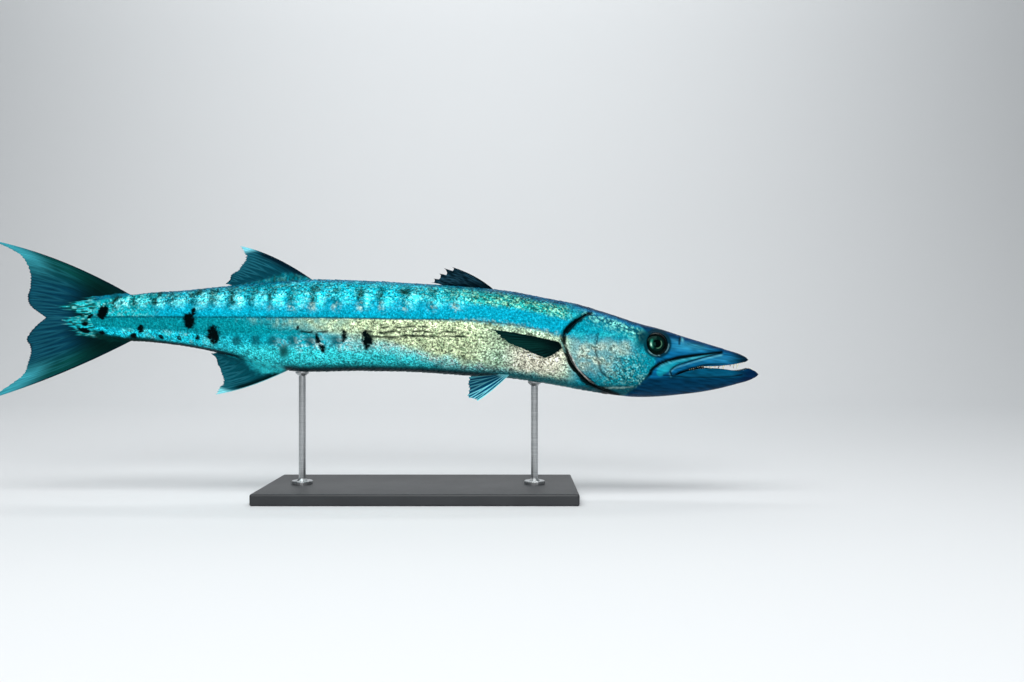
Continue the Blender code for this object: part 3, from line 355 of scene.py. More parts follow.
# Blotches: place along, height, half length, half height, and how much they lean.
BLOTCHES = [(-0.3821, 0.0412, 0.0085, 0.0098, 0.5), (-0.2522, 0.0290, 0.0085, 0.0110, 0.0),
            (-0.2468, 0.0405, 0.0028, 0.0070, 0.0), (-0.2190, 0.0085, 0.0088, 0.0130, 0.1),
            (-0.0974, 0.0180, 0.0022, 0.0034, 0.0),
            (-0.0700, 0.0020, 0.0030, 0.0090, -0.4), (-0.0640, -0.0110, 0.0040, 0.0066, -0.2),
            (-0.0325, 0.0080, 0.0040, 0.0084, 0.1), (-0.0007, 0.0025, 0.0076, 0.0128, -0.1),
            (-0.3254, 0.0165, 0.0052, 0.0058, 0.0), (-0.3380, 0.0068, 0.0045, 0.0040, 0.4),
            (-0.2974, 0.0052, 0.0036, 0.0036, 0.0), (-0.2706, 0.0035, 0.0030, 0.0034, 0.0),
            (-0.2419, 0.0050, 0.0030, 0.0030, 0.0), (-0.4021, 0.0352, 0.0042, 0.0034, 0.8),
            (-0.4098, 0.0242, 0.0062, 0.0032, -0.2), (-0.4098, 0.0152, 0.0085, 0.0042, -1.2),
            (-0.3850, 0.0115, 0.0048, 0.0024, -1.0)]
GHOST_SQUARES = [-0.1852, -0.1575, -0.1325, -0.1042, -0.0789, -0.0439]
DASHES = [(0.0120, 0.0880, 0.0193), (-0.0080, 0.1420, 0.0126), (-0.0020, 0.1430, 0.0064), (-0.1000, -0.0500, 0.0130)]
THROAT_STREAK = curve([(0.3150, -0.0645), (0.3400, -0.0660), (0.3680, -0.0658)], 6)


def mottle(x, h, size, seed):
    """Value noise from 0 to 1: random numbers on a lattice of the given size, eased between corners."""
    table = np.random.default_rng(seed).random((64, 64))
    i, j = np.floor(x / size).astype(int), np.floor(h / size).astype(int)
    s, t = ease(0, 1, x / size - i), ease(0, 1, h / size - j)
    low = table[i % 64, j % 64] * (1 - s) + table[(i + 1) % 64, j % 64] * s
    high = table[i % 64, (j + 1) % 64] * (1 - s) + table[(i + 1) % 64, (j + 1) % 64] * s
    return low * (1 - t) + high * t


def tint(colours, code, share):
    """Colours moved towards a hex colour by a share at each point."""
    return colours + (linear(code) - colours) * np.asarray(share)[..., None]


def blot(x, h, centre, half, power=4):
    """Soft spot: 1 at its centre, falling as exp(-(|u|^power + |v|^power)) in half widths u and v."""
    return np.exp(-np.abs((x - centre[0]) / half[0]) ** power - np.abs((h - centre[1]) / half[1]) ** power)


def markings(points):
    """Linear colour and silver share at points of skin or scales, from place, height and depth."""
    x, y, h = points[..., 0], points[..., 1], points[..., 2] - LEVEL
    back, belly, line = smooth(BACK_LINE, x), smooth(BELLY_LINE, x), smooth(LATERAL_LINE, x)
    width = np.abs(y) / smooth(HALF_WIDTH, x)
    up = (h - line) / (back - line)
    down = (line - h) / (line - belly)
    rough, fine = mottle(x, h, 0.0045, 3), mottle(x, h, 0.0024, 4)
    fleck = ease(0.48, 0.72, 0.45 * rough + 0.55 * fine)
    # Pale specks painted where single scales would catch the light: painted glints.
    glint_speck = ease(0.58, 0.74, mottle(x, h, 0.0021, 6))
    wander = 0.003 * (mottle(x, h, 0.011, 5) - 0.5) + 0.002 * (rough - 0.5)
    trunk = 1 - ease(0.270, 0.300, x)
    colours = np.zeros(points.shape) + linear("#0391AC")
    colours = tint(colours, "#04A2BE", ease(-0.08, -0.20, x))
    silver = np.full(x.shape, 0.42)
    # Back: green-blue with dark flecks and pale painted glints, olive towards the nape, darker along its top
    crown = ease(0.40, 0.58, up) * trunk
    nape = ease(0.05, 0.17, x)
    colours = tint(colours, "#07A0B4", crown)
    colours = tint(colours, "#058094", crown * ease(-0.10, -0.20, x) * 0.5)
    colours = tint(colours, "#1F8878", crown * nape * 0.75)
    colours = tint(colours, "#053C36", fleck * crown * (0.62 + 0.2 * nape))
    colours = tint(colours, "#9CDCB4", glint_speck * crown * (0.16 + 0.34 * nape))
    colours = tint(colours, "#045A78", ease(0.84, 0.98, up) * (0.6 + 0.4 * rough))
    colours = tint(colours, "#013A60", ease(0.74, 0.92, up + 0.06 * (rough - 0.5)) * ease(0.10, 0.22, x) * trunk * 0.85)
    silver = silver + 0.40 * crown
    # Tail stalk: bright above the lateral line, its glitter painted on as pale specks
    stalk = ease(-0.285, -0.330, x) * ease(-0.03, 0.06, up) * ease(1.02, 0.90, up)
    colours = tint(colours, "#10AEB2", stalk * 0.75 * (1 - 0.5 * fleck))
    colours = tint(colours, "#A4F2E4", stalk * glint_speck * 0.22)
    silver = np.maximum(silver, 0.50 * stalk)
    # Bars: smudges of dark green over the bright patches between them, with cream flecks at their feet,
    # and painted white glints on the patches
    for number, bar in enumerate(BARS):
        strength = (1 - 0.60 * ease(0.05, 0.18, bar)) * (0.88 + 0.12 * np.cos(3.1 * number))
        high = 0.0610 - 0.003 * ease(-0.22, -0.32, bar)
        half = 0.0068 + 0.13 * np.clip(h - high, -0.02, 0.02)
        smudge = blot(x - 2.2 * wander, h - wander, (bar, high), (half, 0.0145)) * trunk
        colours = tint(colours, "#05322C", smudge * strength * (0.55 + 0.45 * ease(0.25, 0.60, rough)))
        foot = blot(x, h, (bar + 0.001, high - 0.0135), (0.0050, 0.0050), 2) * trunk * ease(-0.16, -0.10, bar)
        colours = tint(colours, "#C4D6B8", foot * ease(0.40, 0.70, fine) * 0.65)
        spread = (0.0078, 0.0092 - 0.0025 * ease(-0.20, -0.30, bar))
        patch = blot(x - 3.6 * wander, h - 2.2 * wander, (bar + 0.0115, high - 0.0050), spread, 3) * trunk
        patch = patch * strength * (0.35 + 0.65 * ease(0.25, 0.60, 0.5 * rough + 0.5 * fine))
        colours = tint(colours, "#34D6E2", patch)
        colours = tint(colours, "#C4FCF4", patch * (0.42 * glint_speck + 0.28 * ease(-0.14, -0.20, bar) * fine))
        low = blot(x - 2 * wander, h - wander, (bar + 0.020, belly + 0.0130), (0.0095, 0.0085)) * ease(-0.205, -0.240, x)
        low = low * ease(0.15, 0.50, 0.5 * rough + 0.5 * fine)
        colours = tint(colours, "#62EEEA", low * 0.9)
        colours = tint(colours, "#DCFFF6", low * glint_speck * 0.6)
        silver = np.maximum(silver, 0.75 * np.maximum(patch, low))
    # Below the lateral line: teal behind, turning to pale cyan lower down
    colours = tint(colours, "#048A96", ease(0.0, 0.05, down) * ease(0.64, 0.42, down) * trunk)
    colours = tint(colours, "#14C8DC", ease(0.42, 0.64, down) * ease(-0.16, -0.26, x) * (1 - fleck * 0.6))
    colours = tint(colours, "#38D8DF", ease(0.42, 0.62, down) * ease(-0.26, -0.16, x) * trunk * (1 - 0.25 * fleck))
    silver = np.maximum(silver, (0.35 + 0.35 * ease(0.35, 0.55, down)) * ease(0.0, 0.05, down) * trunk)
    # Gilded band from the middle of the body forward, and paler, greyer skin below it
    floor = smooth(GILDED_FLOOR, x)
    edge = floor - h + 3 * wander
    under = ease(-0.090, 0.010, x) * ease(-0.010, 0.002, edge) * (1 - ease(0.004, 0.024, edge)) * trunk
    colours = tint(colours, "#8CCBC4", under * (0.55 + 0.45 * rough))
    colours = tint(colours, "#DCC9BC", under * fleck * 0.45)
    ragged = 0.05 * ease(0.08, 0.16, x)
    band = ease(-0.190, 0.030, x + 0.09 * (rough - 0.5)) * ease(-ragged, 0.03 + ragged, down + 2 * ragged * (fine - 0.5))
    band = band * (1 - ease(-0.008, 0.006, edge)) * trunk
    colours = tint(colours, "#C2D2A8", band * (1 - 0.30 * ease(0.130, 0.200, x)))
    colours = tint(colours, "#F6EED6", band * blot(x, h, (0.235, -0.028), (0.042, 0.022)) * 0.90)
    colours = tint(colours, "#3F6A45", band * ease(0.55, 0.80, fine) * (0.60 - 0.30 * ease(0.17, 0.22, x)))
    silver = np.maximum(silver, 0.95 * np.maximum(band, under))
    # Belly: dark dots, and a dark lower edge that is painted shade, except at the anal fin, turning to
    # dull silver underneath
    rooted = ease(-0.195, -0.170, x) * ease(-0.118, -0.128, x)
    colours = tint(colours, "#055A64", ease(0.70, 0.86, down) * fleck * 0.6 * trunk)
    # Painted shade: the lower edge darkened to near black, less so on the chest.
    colours = tint(colours, "#086870", ease(0.80, 0.93, down) * 0.85 * (1 - rooted))
    chest = ease(0.13, 0.20, x)
    colours = tint(colours, "#01181F", ease(0.86, 0.95, down) * (0.97 - 0.50 * chest) * (1 - rooted))
    colours = tint(colours, "#0A6A72", ease(0.80, 0.92, down) * chest * 0.45)
    colours = tint(colours, "#8FA8A8", (1 - ease(0.05, 0.22, width)) * ease(0.92, 0.98, down) * ease(-0.13, -0.10, x) * 0.8)
    # Painted shade along the tail stalk's lower edge.
    colours = tint(colours, "#02241F", ease(0.0085, 0.0035, h - belly + 2 * wander) * ease(-0.27, -0.33, x) * 0.9)
    # Grey squares with pale flecks by them, dashed lines and the lateral line
    around = ease(0.014, 0.006, h) * ease(-0.014, -0.004, h) * ease(-0.215, -0.190, x) * ease(-0.015, -0.050, x)
    colours = tint(colours, "#0AB4C8", around * (0.45 + 0.20 * rough))
    for square in GHOST_SQUARES:
        dusk = blot(x - wander, h - wander, (square, 0.001), (0.0068, 0.0075))
        colours = tint(colours, "#054A54", dusk * 0.85)
        silver = silver * (1 - 0.6 * dusk)
        beside = blot(x - wander, h, (square + 0.012, -0.004), (0.0085, 0.0085), 2) * ease(-0.15, -0.11, square)
        colours = tint(colours, "#CFEDE6", beside * ease(0.40, 0.70, fine) * 0.8)
    dusk = blot(x - wander, h - wander, (-0.1180, -0.0135), (0.0062, 0.0094))
    colours = tint(colours, "#073836", dusk * (0.85 + 0.15 * rough))
    silver = silver * (1 - dusk)
    for start, end, high in DASHES:
        broken = ease(0.24, 0.36, mottle(x, h * 0 + high, 0.0040, 8)) * ease(start, start + 0.01, x)
        broken = broken * (1 - ease(end - 0.01, end, x))
        dash = np.exp(-((h - high - wander) / (0.0011 + 0.0010 * fine)) ** 4) * broken
        colours = tint(colours, "#04140C", dash * 0.98)
        silver = silver * (1 - dash)
    thread = np.exp(-((h - line) / 0.0012) ** 2) * trunk * (1 - 0.6 * ease(0.15, 0.25, x))
    colours = tint(colours, "#063A40", thread * 0.9)
    # Head: blue above, bright and smooth on the cover, gilded below, with a glittering streak to the eye
    head = ease(0.270, 0.300, x)
    high = (h - belly) / (back - belly)
    silver = silver * (1 - head) + 0.38 * head
    cloud = mottle(0.6 * x, h, 0.0085, 11)
    patchy = ease(0.35, 0.7, 0.6 * mottle(x, h, 0.009, 12) + 0.4 * rough)
    colours = tint(colours, "#03869A", head)
    colours = tint(colours, "#1FB0B8", head * ease(0.50, 0.80, cloud) * ease(-0.012, 0.004, h) * 0.6)
    cheek = blot(x, h, (0.352, -0.038), (0.032, 0.028)) * head
    colours = tint(colours, "#128894", cheek * (0.4 + 0.6 * patchy))
    colours = tint(colours, "#0A4A54", cheek * fleck * 0.7)
    # Pale specks painted on the cheek as its glints.
    colours = tint(colours, "#96DED2", cheek * ease(0.60, 0.76, mottle(x, h, 0.0017, 21)) * 0.42)
    pale = np.maximum(blot(x, h, (0.308, -0.022), (0.036, 0.022)), 0.75 * blot(x, h, (0.348, -0.010), (0.020, 0.010)))
    cream = pale * (0.30 + 0.70 * patchy) * head
    colours = tint(colours, "#C6D4BE", cream * 0.85)
    colours = tint(colours, "#1E6664", cream * fleck * 0.8)
    streak = np.exp(-((h - 0.0330 + 0.37 * (x - 0.320)) / 0.0090) ** 2) * ease(0.285, 0.310, x) * ease(0.390, 0.374, x)
    colours = tint(colours, "#044A5A", streak * 0.90)
    # Pale specks painted on the streak as its glitter: painted glints.
    colours = tint(colours, "#86EEE0", streak * ease(0.52, 0.72, mottle(x, h, 0.0021, 22)) * 0.85)
    silver = np.maximum(silver, np.maximum(0.70 * cheek, np.maximum(0.85 * cream, 0.55 * streak)))
    colours = tint(colours, "#066A96", head * ease(0.89, 0.96, high + 0.03 * (rough - 0.5)))
    colours = tint(colours, "#01223E", head * ease(0.93, 0.99, high + 0.02 * (rough - 0.5)))
    colours = tint(colours, "#083E46", head * ease(-0.056, -0.066, h) * 0.85)
    # Painted shade below the cheek by the mouth's corner, with painted glints on it.
    corner = blot(x, h, (0.388, -0.0575), (0.014, 0.010))
    colours = tint(colours, "#06363E", corner * 0.75)
    colours = tint(colours, "#A4F0E2", corner * ease(0.55, 0.70, mottle(x, h, 0.0021, 22)) * 0.8)
    # Snout and jaws: bare, dark blue bone, streaked along its length, with a paler maxilla and dark tips,
    # and painted sheen and highlights on snout, maxilla and nostril
    bare = head * ease(-0.003, 0.003, x - smooth(BARE_EDGE, h))
    bone = 0.55 + 0.92 * mottle(0.16 * x, h + 0.12 * x, 0.0017, 29)
    colours = tint(colours, "#075A86", bare)
    # Painted sheen: soft pale patches along the snout and upper jaw, and a lighter band along its ridge.
    colours = tint(colours, "#2F93B4", bare * blot(x, h, (0.452, -0.0085), (0.030, 0.0060), 2) * (0.3 + 0.6 * cloud))
    ridge = np.exp(-((h + 0.003 + 0.176 * (x - 0.450)) / 0.0032) ** 2 - ((x - 0.450) / 0.026) ** 4)
    colours = tint(colours, "#4FB4C8", bare * ridge * (0.12 + 0.40 * cloud))
    colours = tint(colours, "#2A86AE", bare * blot(x, h, (0.495, -0.0260), (0.030, 0.0055), 2) * 0.55)
    colours = tint(colours, "#04294C", bare * ease(0.84, 0.96, high) * 0.9)
    depth = maxilla_depth(x, h)
    plate = bare * ease(-0.0005, 0.0012, depth) * ease(0.500, 0.470, x)
    colours = tint(colours, "#0C8CA2", plate * (0.7 + 0.3 * rough))
    # A painted highlight on the maxilla's rear end.
    colours = tint(colours, "#2CA4A8", plate * blot(x, h, (0.415, -0.038), (0.009, 0.006), 2) * 0.35)
    jaw = bare * ease(-0.0002, -0.0012, h - smooth(UPPER_LIP, x)) * ease(0.372, 0.404, x)
    colours = tint(colours, "#054A68", jaw)
    colours = tint(colours, "#02304E", bare * ease(-0.0490, -0.0545, h) * 0.95)
    colours = tint(colours, "#01143E", ease(0.508, 0.540, x) * 0.85)
    colours = tint(colours, "#021A22", ease(0.500, 0.528, x) * ease(-0.036, -0.030, h) * 0.75)
    colours = colours * (1 + (bone - 1) * bare)[..., None]
    # Painted highlights: pale lines along the raised edges below the maxilla's groove and seam.
    for shine_line, wide, share in ((MAXILLA_GROOVE - (0.0006, 0.0036), 0.0016, 0.25),
                                    (MAXILLA_SEAM - (0.0008, 0.0030), 0.0010, 0.35)):
        stripe = np.exp(-(line_distance(shine_line, x, h) / wide) ** 2) * bare * ease(0.398, 0.410, x)
        colours = tint(colours, "#6FCBD8", stripe * share * bone)
    # A painted glint on the raised rim before the nostril.
    colours = tint(colours, "#5FB4C4", blot(x, h, (0.4405, 0.0015), (0.0020, 0.0030), 2) * 0.8)
    # Painted shade in the folds and the maxilla's groove, a dark band along the upper lip's edge, and dark
    # skin round the eye and behind it
    # Each fold's dark line is painted shade in its groove.
    for fold, wide, strength in ((PREOPERCLE, 0.0014, 0.8), (INTEROPERCLE, 0.0012, 0.6), (MAXILLA_GROOVE, 0.0019, 0.98),
                                 (MAXILLA_SEAM, 0.0013, 0.95), (LIP_FOLD, 0.0010, 0.9), (NOSTRIL, 0.0014, 0.95),
                                 (SNOUT_FOLD, 0.0008, 0.4)):
        ink_and_crease_shade = np.exp(-(line_distance(fold, x, h) / wide) ** 2) * strength
        colours = tint(colours, "#010A10", ink_and_crease_shade * (1 - 0.7 * ease(-0.047, -0.056, h)))
    # The maxilla's groove painted black: painted shade.
    thick = 0.0003 + 0.0012 * ease(0.475, 0.435, x)
    ink_and_crease_shade = (1 - ease(thick, thick + 0.0020, line_distance(MAXILLA_GROOVE, x, h))) * ease(-0.052, -0.046, h)
    colours = tint(colours, "#01070A", ink_and_crease_shade * 0.97)
    lip = (1 - ease(0.0010, 0.0024, h - smooth(UPPER_LIP, x) - 0.0008)) * ease(-0.0006, 0.0002, h - smooth(UPPER_LIP, x))
    lip = lip * ease(0.420, 0.432, x) * ease(0.530, 0.470, x)
    colours = tint(colours, "#010A10", bare * lip * 0.85)
    throat = np.exp(-(line_distance(THROAT_STREAK, x, h + wander) / 0.0011) ** 2)
    colours = tint(colours, "#B4D6CC", throat * ease(0.30, 0.65, cloud) * 0.45)
    apart = np.hypot(x - EYE_CENTRE[0], h - EYE_CENTRE[1])
    turn = np.degrees(np.arctan2(h - EYE_CENTRE[1], x - EYE_CENTRE[0]))
    smooth_patch = np.maximum(blot(x, h, (0.3850, 0.0040), (0.0120, 0.0125)), ease(0.0225, 0.0190, apart))
    colours = tint(colours, "#02242F", smooth_patch * 0.92)
    silver = silver * (1 - smooth_patch)
    arcs = np.maximum(ease(-150, -135, turn) * ease(-72, -85, turn) * 0.65, ease(-55, -45, turn) * ease(2, -8, turn) * 0.4)
    colours = tint(colours, "#8CC4C8", np.exp(-((apart - 0.0166) / 0.0006) ** 2) * arcs)
    colours = tint(colours, "#010506", 1 - ease(0.0150, 0.0160, apart))
    # The gill slit, painted black all along as the shade inside it and thinnest at mid height, with a thin
    # pale line on the cover's edge
    slit = line_distance(GILL_LINE[::2] - (0.0026, 0), x, h)
    thick = 0.0014 + 0.0016 * ease(0.003, 0.013, np.abs(h + 0.0016)) + 0.0006 * ease(-0.012, -0.022, h)
    thick = thick * (1 - 0.65 * ease(0.026, 0.036, h))
    colours = tint(colours, "#010506", (1 - ease(thick, thick + 0.0012, slit + 1.2 * wander)) * 0.98)
    rim = np.exp(-(line_distance(GILL_LINE[::2] + (0.0014, 0), x, h) / 0.0007) ** 2)
    rim = rim * ease(-0.010, -0.020, h) * ease(-0.063, -0.050, h)
    colours = tint(colours, "#D5D2CC", rim * 0.7)
    sliver = line_distance([(0.2665, 0.0005), (0.2700, -0.0055), (0.2730, -0.0150)], x, h)
    colours = tint(colours, "#8CCFC8", np.exp(-(sliver / 0.0011) ** 2) * 0.75)
    # Blotches, uneven at their edges
    for bx, bh, long, tall, lean in BLOTCHES:
        u = (x - bx - lean * (h - bh) * 0.5 + 0.7 * wander) / long
        v = (h - bh + 0.5 * wander) / tall
        ink_and_crease_shade = 1 - ease(0.90, 1.14, np.sqrt(u * u + v * v) + 0.45 * (fine - 0.5))
        colours = tint(colours, "#010404", ink_and_crease_shade)
        silver = silver * (1 - ink_and_crease_shade)
    # No glints on bare bone, and few in the painted shade along the belly's lower edge.
    silver = silver * (1 - bare) * (1 - 0.8 * ease(0.86, 0.95, down))
    return colours, np.clip(silver, 0, 1)


# Skin: one thin, glossy sheet over the whole fish, closed all round and sunk into a socket where each
# eye sits. Its rows follow the body, bend along the gill cover's free edge and run out to both jaw tips,
# round the lips and over the palate and the mouth's floor.
HALF = 120
ABOVE_MOUTH = 72
TAIL_END = -0.402
TAIL_SWEEP = 0.058
TAIL_BLEND = -0.330
NECK = 0.250
CHEEK = 0.372
LIP = 0.0012
PALATE_RISE = 0.30
FLOOR_DROP = 0.30


def tail_end(turn):
    """End of the tail stalk: furthest back at half height, swept forward to back and belly."""
    return TAIL_END + TAIL_SWEEP * np.abs(2 * turn - 1) ** 2.2


def body_rows():
    """Places along and heights off the skin, row by row, from the tail's end to the mouth's corner."""
    turns = np.linspace(0, 1, HALF + 1)
    edge = smooth(GILL_EDGE, turns)
    rows = [tail_end(turns) + (TAIL_BLEND - tail_end(turns)) * share for share in np.linspace(0, 1, 22)]
    rows += [np.full(HALF + 1, x) for x in np.arange(TAIL_BLEND + 0.005, NECK, 0.0075)]
    start = edge + GILL_SLIT[0][0]
    rows += [NECK + (start - NECK) * share for share in np.linspace(0.12, 0.88, 6)]
    lifts = [np.zeros(HALF + 1)] * len(rows)
    ahead, heights = np.array(GILL_SLIT).T
    spread = np.linspace(ahead[0], ahead[-1], len(ahead))
    free = cover_share(turns)
    for gone, plain, height in zip(ahead, spread, heights):
        rows.append(edge + plain + (gone - plain) * free)
        lifts.append(height * free)
    start = edge + GILL_SLIT[-1][0]
    rows += [start + (CHEEK - start) * share for share in np.linspace(0, 1, 44)[1:]]
    rows += [np.full(HALF + 1, x) for x in np.linspace(CHEEK, MOUTH_CORNER, 52)[1:]]
    lifts += [np.zeros(HALF + 1)] * (len(rows) - len(lifts))
    return turns, np.array(rows), np.array(lifts)


def raised(x, turn, lift=0.0, jaw=False):
    """Section points with the finished skin's height added to their lift."""
    return section_point(x, turn, lift + shape_lift(section_point(x, turn, 0.0, jaw)), jaw)


def jaw_sides(x, columns, corner):
    """Lower jaw from its lip to the belly. Near the mouth's corner its edge is drawn to the upper
    jaw's skin, by a pull that fades down the side and forward."""
    lip = smooth(LOWER_LIP, x) - LIP * ease(0, 0.012, x - MOUTH_CORNER)
    first = turn_at_height(x, lip, jaw=True)
    share = np.linspace(0, 1, columns)[None, :]
    sides = raised(x, first + (1 - first) * share, jaw=True)
    pull = (corner - sides[:1, :1]) * np.exp(-share / 0.12)[..., None] * np.exp(-(x - x[0]) / 0.006)[..., None]
    return sides + pull * (1 - share[..., None])


def lining(edge, inward, rise, columns):
    """Lip and mouth lining on one side: half a turn round the lip, then an arc to the middle plane.

    edge is the lip's outer line; rise is the lining's height in the middle plane, up or down.
    """
    radius = np.minimum(0.0016, -0.25 * edge[:, 1])[:, None]
    swell = inward[:, None] * LIP / 0.0016
    turns = np.linspace(0, np.pi, 7)[None, 1:]
    up = np.sign(rise[-1])
    roll_y = edge[:, 1, None] + radius * (1 - np.cos(turns))
    roll_z = edge[:, 2, None] - up * radius * swell * np.sin(turns)
    s = np.linspace(0, 1, columns)[None, 1:]
    arc_y = roll_y[:, -1:] * (1 - s)
    arc_z = edge[:, 2, None] + rise[:, None] * np.sin(s * np.pi / 2)
    y = np.concatenate([edge[:, 1, None], roll_y, arc_y], 1)
    z = np.concatenate([edge[:, 2, None], roll_z, arc_z], 1)
    return np.stack([edge[:, 0, None] + 0 * y, y, z], -1)


def closed_skin(name, sheets, shares):
    """One closed mesh from grids of the right half: mirrored, and joined wherever points coincide.
    It comes back with the share of mouth lining at each vertex."""
    points, quads, flags, start = [], [], [], 0
    for sheet, share in zip(sheets, shares):
        rows, columns = sheet.shape[:2]
        corner = np.arange(rows * columns).reshape(rows, columns)
        for side in (1, -1):
            points.append((sheet * (1, side, 1)).reshape(-1, 3))
            flags.append(np.broadcast_to(share, (rows, columns)).ravel())
            quad = np.stack([corner[:-1, :-1], corner[:-1, 1:], corner[1:, 1:], corner[1:, :-1]], -1).reshape(-1, 4)
            quads.append(start + (quad if side > 0 else quad[:, ::-1]))
            start += rows * columns
    points, quads = np.concatenate(points), np.concatenate(quads)
    whole = np.round(points * 1e6).astype(np.int64)
    _, first, index = np.unique(whole, axis=0, return_index=True, return_inverse=True)
    quads = index.reshape(-1)[quads]
    faces = [tuple(dict.fromkeys(quad)) for quad in quads.tolist()]
    mesh = bpy.data.meshes.new(name)
    mesh.from_pydata(points[first], [], [face for face in faces if len(face) > 2])
    shape = bmesh.new()
    shape.from_mesh(mesh)
    bmesh.ops.recalc_face_normals(shape, faces=shape.faces)
    shape.to_mesh(mesh)
    shape.free()
    mesh.shade_smooth()
    piece = bpy.data.objects.new(name, mesh)
    bpy.context.scene.collection.objects.link(piece)
    return piece, np.concatenate(flags)[first]


def put_marks(piece, colours, silver):
    """Store the colour and the silver share at each vertex."""
    mesh = piece.data
    paint_layer = mesh.attributes.new("markings", "FLOAT_COLOR", "POINT")
    rgba = np.concatenate([np.clip(colours, 0, 1), np.ones((len(colours), 1))], 1)
    paint_layer.data.foreach_set("color", rgba.astype(np.float32).ravel())
    shine = mesh.attributes.new("silver", "FLOAT", "POINT")
    shine.data.foreach_set("value", np.asarray(silver, np.float32).ravel())


def vertex_places(piece):
    """All vertices of a piece as one array."""
    places = np.empty(len(piece.data.vertices) * 3)
    piece.data.vertices.foreach_get("co", places)
    return places.reshape(-1, 3)


turns, places, lifts = body_rows()
body = raised(places, turns, lifts)
cut = turn_at_height(MOUTH_CORNER, smooth(UPPER_LIP, MOUTH_CORNER))
share = np.concatenate([np.linspace(0, cut, ABOVE_MOUTH + 1), np.linspace(cut, 1, HALF - ABOVE_MOUTH + 1)[1:]])
near = places[-51:, :1]
gather = ease(CHEEK, MOUTH_CORNER - 0.015, near)
bent = turns * (1 - gather) + share * gather
front = raised(near + 0 * bent, bent)
jaw_front = raised(near + 0 * bent, bent, jaw=True)
below = np.clip((np.arange(HALF + 1) - ABOVE_MOUTH) / 8, 0, 1)[None, :, None]
front = front + (jaw_front - front) * below * ease(CHEEK, MOUTH_CORNER, near)[..., None]
body[-51:] = front
upper_x = np.concatenate([np.linspace(MOUTH_CORNER, 0.518, 86), np.linspace(0.519, 0.5368, 30)])[:, None]
upper_lip = smooth(UPPER_LIP, upper_x) + LIP * ease(0, 0.012, upper_x - MOUTH_CORNER)
upper = raised(upper_x, turn_at_height(upper_x, upper_lip) * np.linspace(0, 1, ABOVE_MOUTH + 1))
upper[0] = body[-1, :ABOVE_MOUTH + 1]
lower_x = np.concatenate([np.linspace(MOUTH_CORNER, 0.536, 96), np.linspace(0.537, 0.5514, 26)])[:, None]
lower = jaw_sides(lower_x, HALF - ABOVE_MOUTH + 1, body[-1, ABOVE_MOUTH])
lower[0] = body[-1, ABOVE_MOUTH:]
for sheet in (body, upper):
    sheet[:, 0, 1] = 0
for sheet in (body, lower):
    sheet[:, -1, 1] = 0
opening = np.clip((upper_x[:, 0] - MOUTH_CORNER) / 0.02, 0, 1)
palate = lining(upper[:, -1], opening, PALATE_RISE * opening * (upper[:, 0, 2] - upper[:, -1, 2]), 12)
opening = np.clip((lower_x[:, 0] - MOUTH_CORNER) / 0.02, 0, 1)
floor_of_mouth = lining(lower[:, 0], opening, -FLOOR_DROP * opening * (lower[:, 0, 2] - lower[:, -1, 2]) - 1e-9, 12)
tips = [np.array([0.5376, 0, LEVEL - 0.0272]), np.array([0.5520, 0, LEVEL - 0.0475])]
sheets = [np.concatenate([body[:1] * (1, 0, 1), body])]
inside = ease(0, 6, np.arange(18))[None, :]
shares = [0.0, 0.0, inside, 0.0, inside]
for sheet, tip in ((upper, tips[0]), (palate, tips[0]), (lower, tips[1]), (floor_of_mouth, tips[1])):
    sheets.append(np.concatenate([sheet, np.broadcast_to(tip, (1,) + sheet.shape[1:])]))
skin, lined = closed_skin("fish_skin", sheets, shares)
colours, silver = markings(vertex_places(skin))
# The mouth's lining is painted dark teal: painted shade inside the mouth.
put_marks(skin, tint(colours, "#123038", lined * 0.9), silver * (1 - lined))

# Silvered skin: guanine crystals under a thin wet film. It looks like dulled metal broken into bright
# and dark grains of about a millimetre, which are drawn 2.6 mm apart so that they show. Their brightness
# is partly the crystals' own tone and partly painted glitter, with pale painted glints on the brightest.
GRAIN = 0.0026
silvered_skin, tree = blank_material("silvered_fish_skin")
spot = add(tree, "ShaderNodeTexCoord")
marks = add(tree, "ShaderNodeAttribute", attribute_name="markings")
shine = add(tree, "ShaderNodeAttribute", attribute_name="silver")
grain = add(tree, "ShaderNodeTexNoise", {"Vector": spot.outputs["Object"], "Scale": 1 / GRAIN, "Detail": 2.0,
                                         "Roughness": 0.65})
shade = add(tree, "ShaderNodeMapRange", {"Value": grain.outputs["Fac"], "From Min": 0.37, "From Max": 0.63,
                                         "To Min": 0.12, "To Max": 2.00})
even = add(tree, "ShaderNodeMix", {0: shine.outputs["Fac"], 2: 1.0, 3: shade.outputs["Result"]}, data_type="FLOAT")
base = add(tree, "ShaderNodeVectorMath", {0: marks.outputs["Color"], 1: even.outputs[0]}, operation="MULTIPLY")
# Painted glints: where the grain is highest, the colour is paled towards white by its square root.
spark = add(tree, "ShaderNodeMapRange", {"Value": grain.outputs["Fac"], "From Min": 0.60, "From Max": 0.70})
glint = add(tree, "ShaderNodeMath", {0: spark.outputs["Result"], 1: shine.outputs["Fac"]}, operation="MULTIPLY")
pale = add(tree, "ShaderNodeGamma", {"Color": base.outputs["Vector"], "Gamma": 0.5})
glow = add(tree, "ShaderNodeMix", {0: glint.outputs[0], 6: base.outputs["Vector"], 7: pale.outputs["Color"]},
           data_type="RGBA", blend_type="MIX")
dull = add(tree, "ShaderNodeMapRange", {"Value": grain.outputs["Fac"], "To Min": 0.52, "To Max": 0.36})
metal = add(tree, "ShaderNodeMath", {0: shine.outputs["Fac"], 1: 0.35}, operation="MULTIPLY")
bumps = add(tree, "ShaderNodeBump", {"Height": grain.outputs["Fac"], "Strength": 0.35, "Distance": 0.0005})
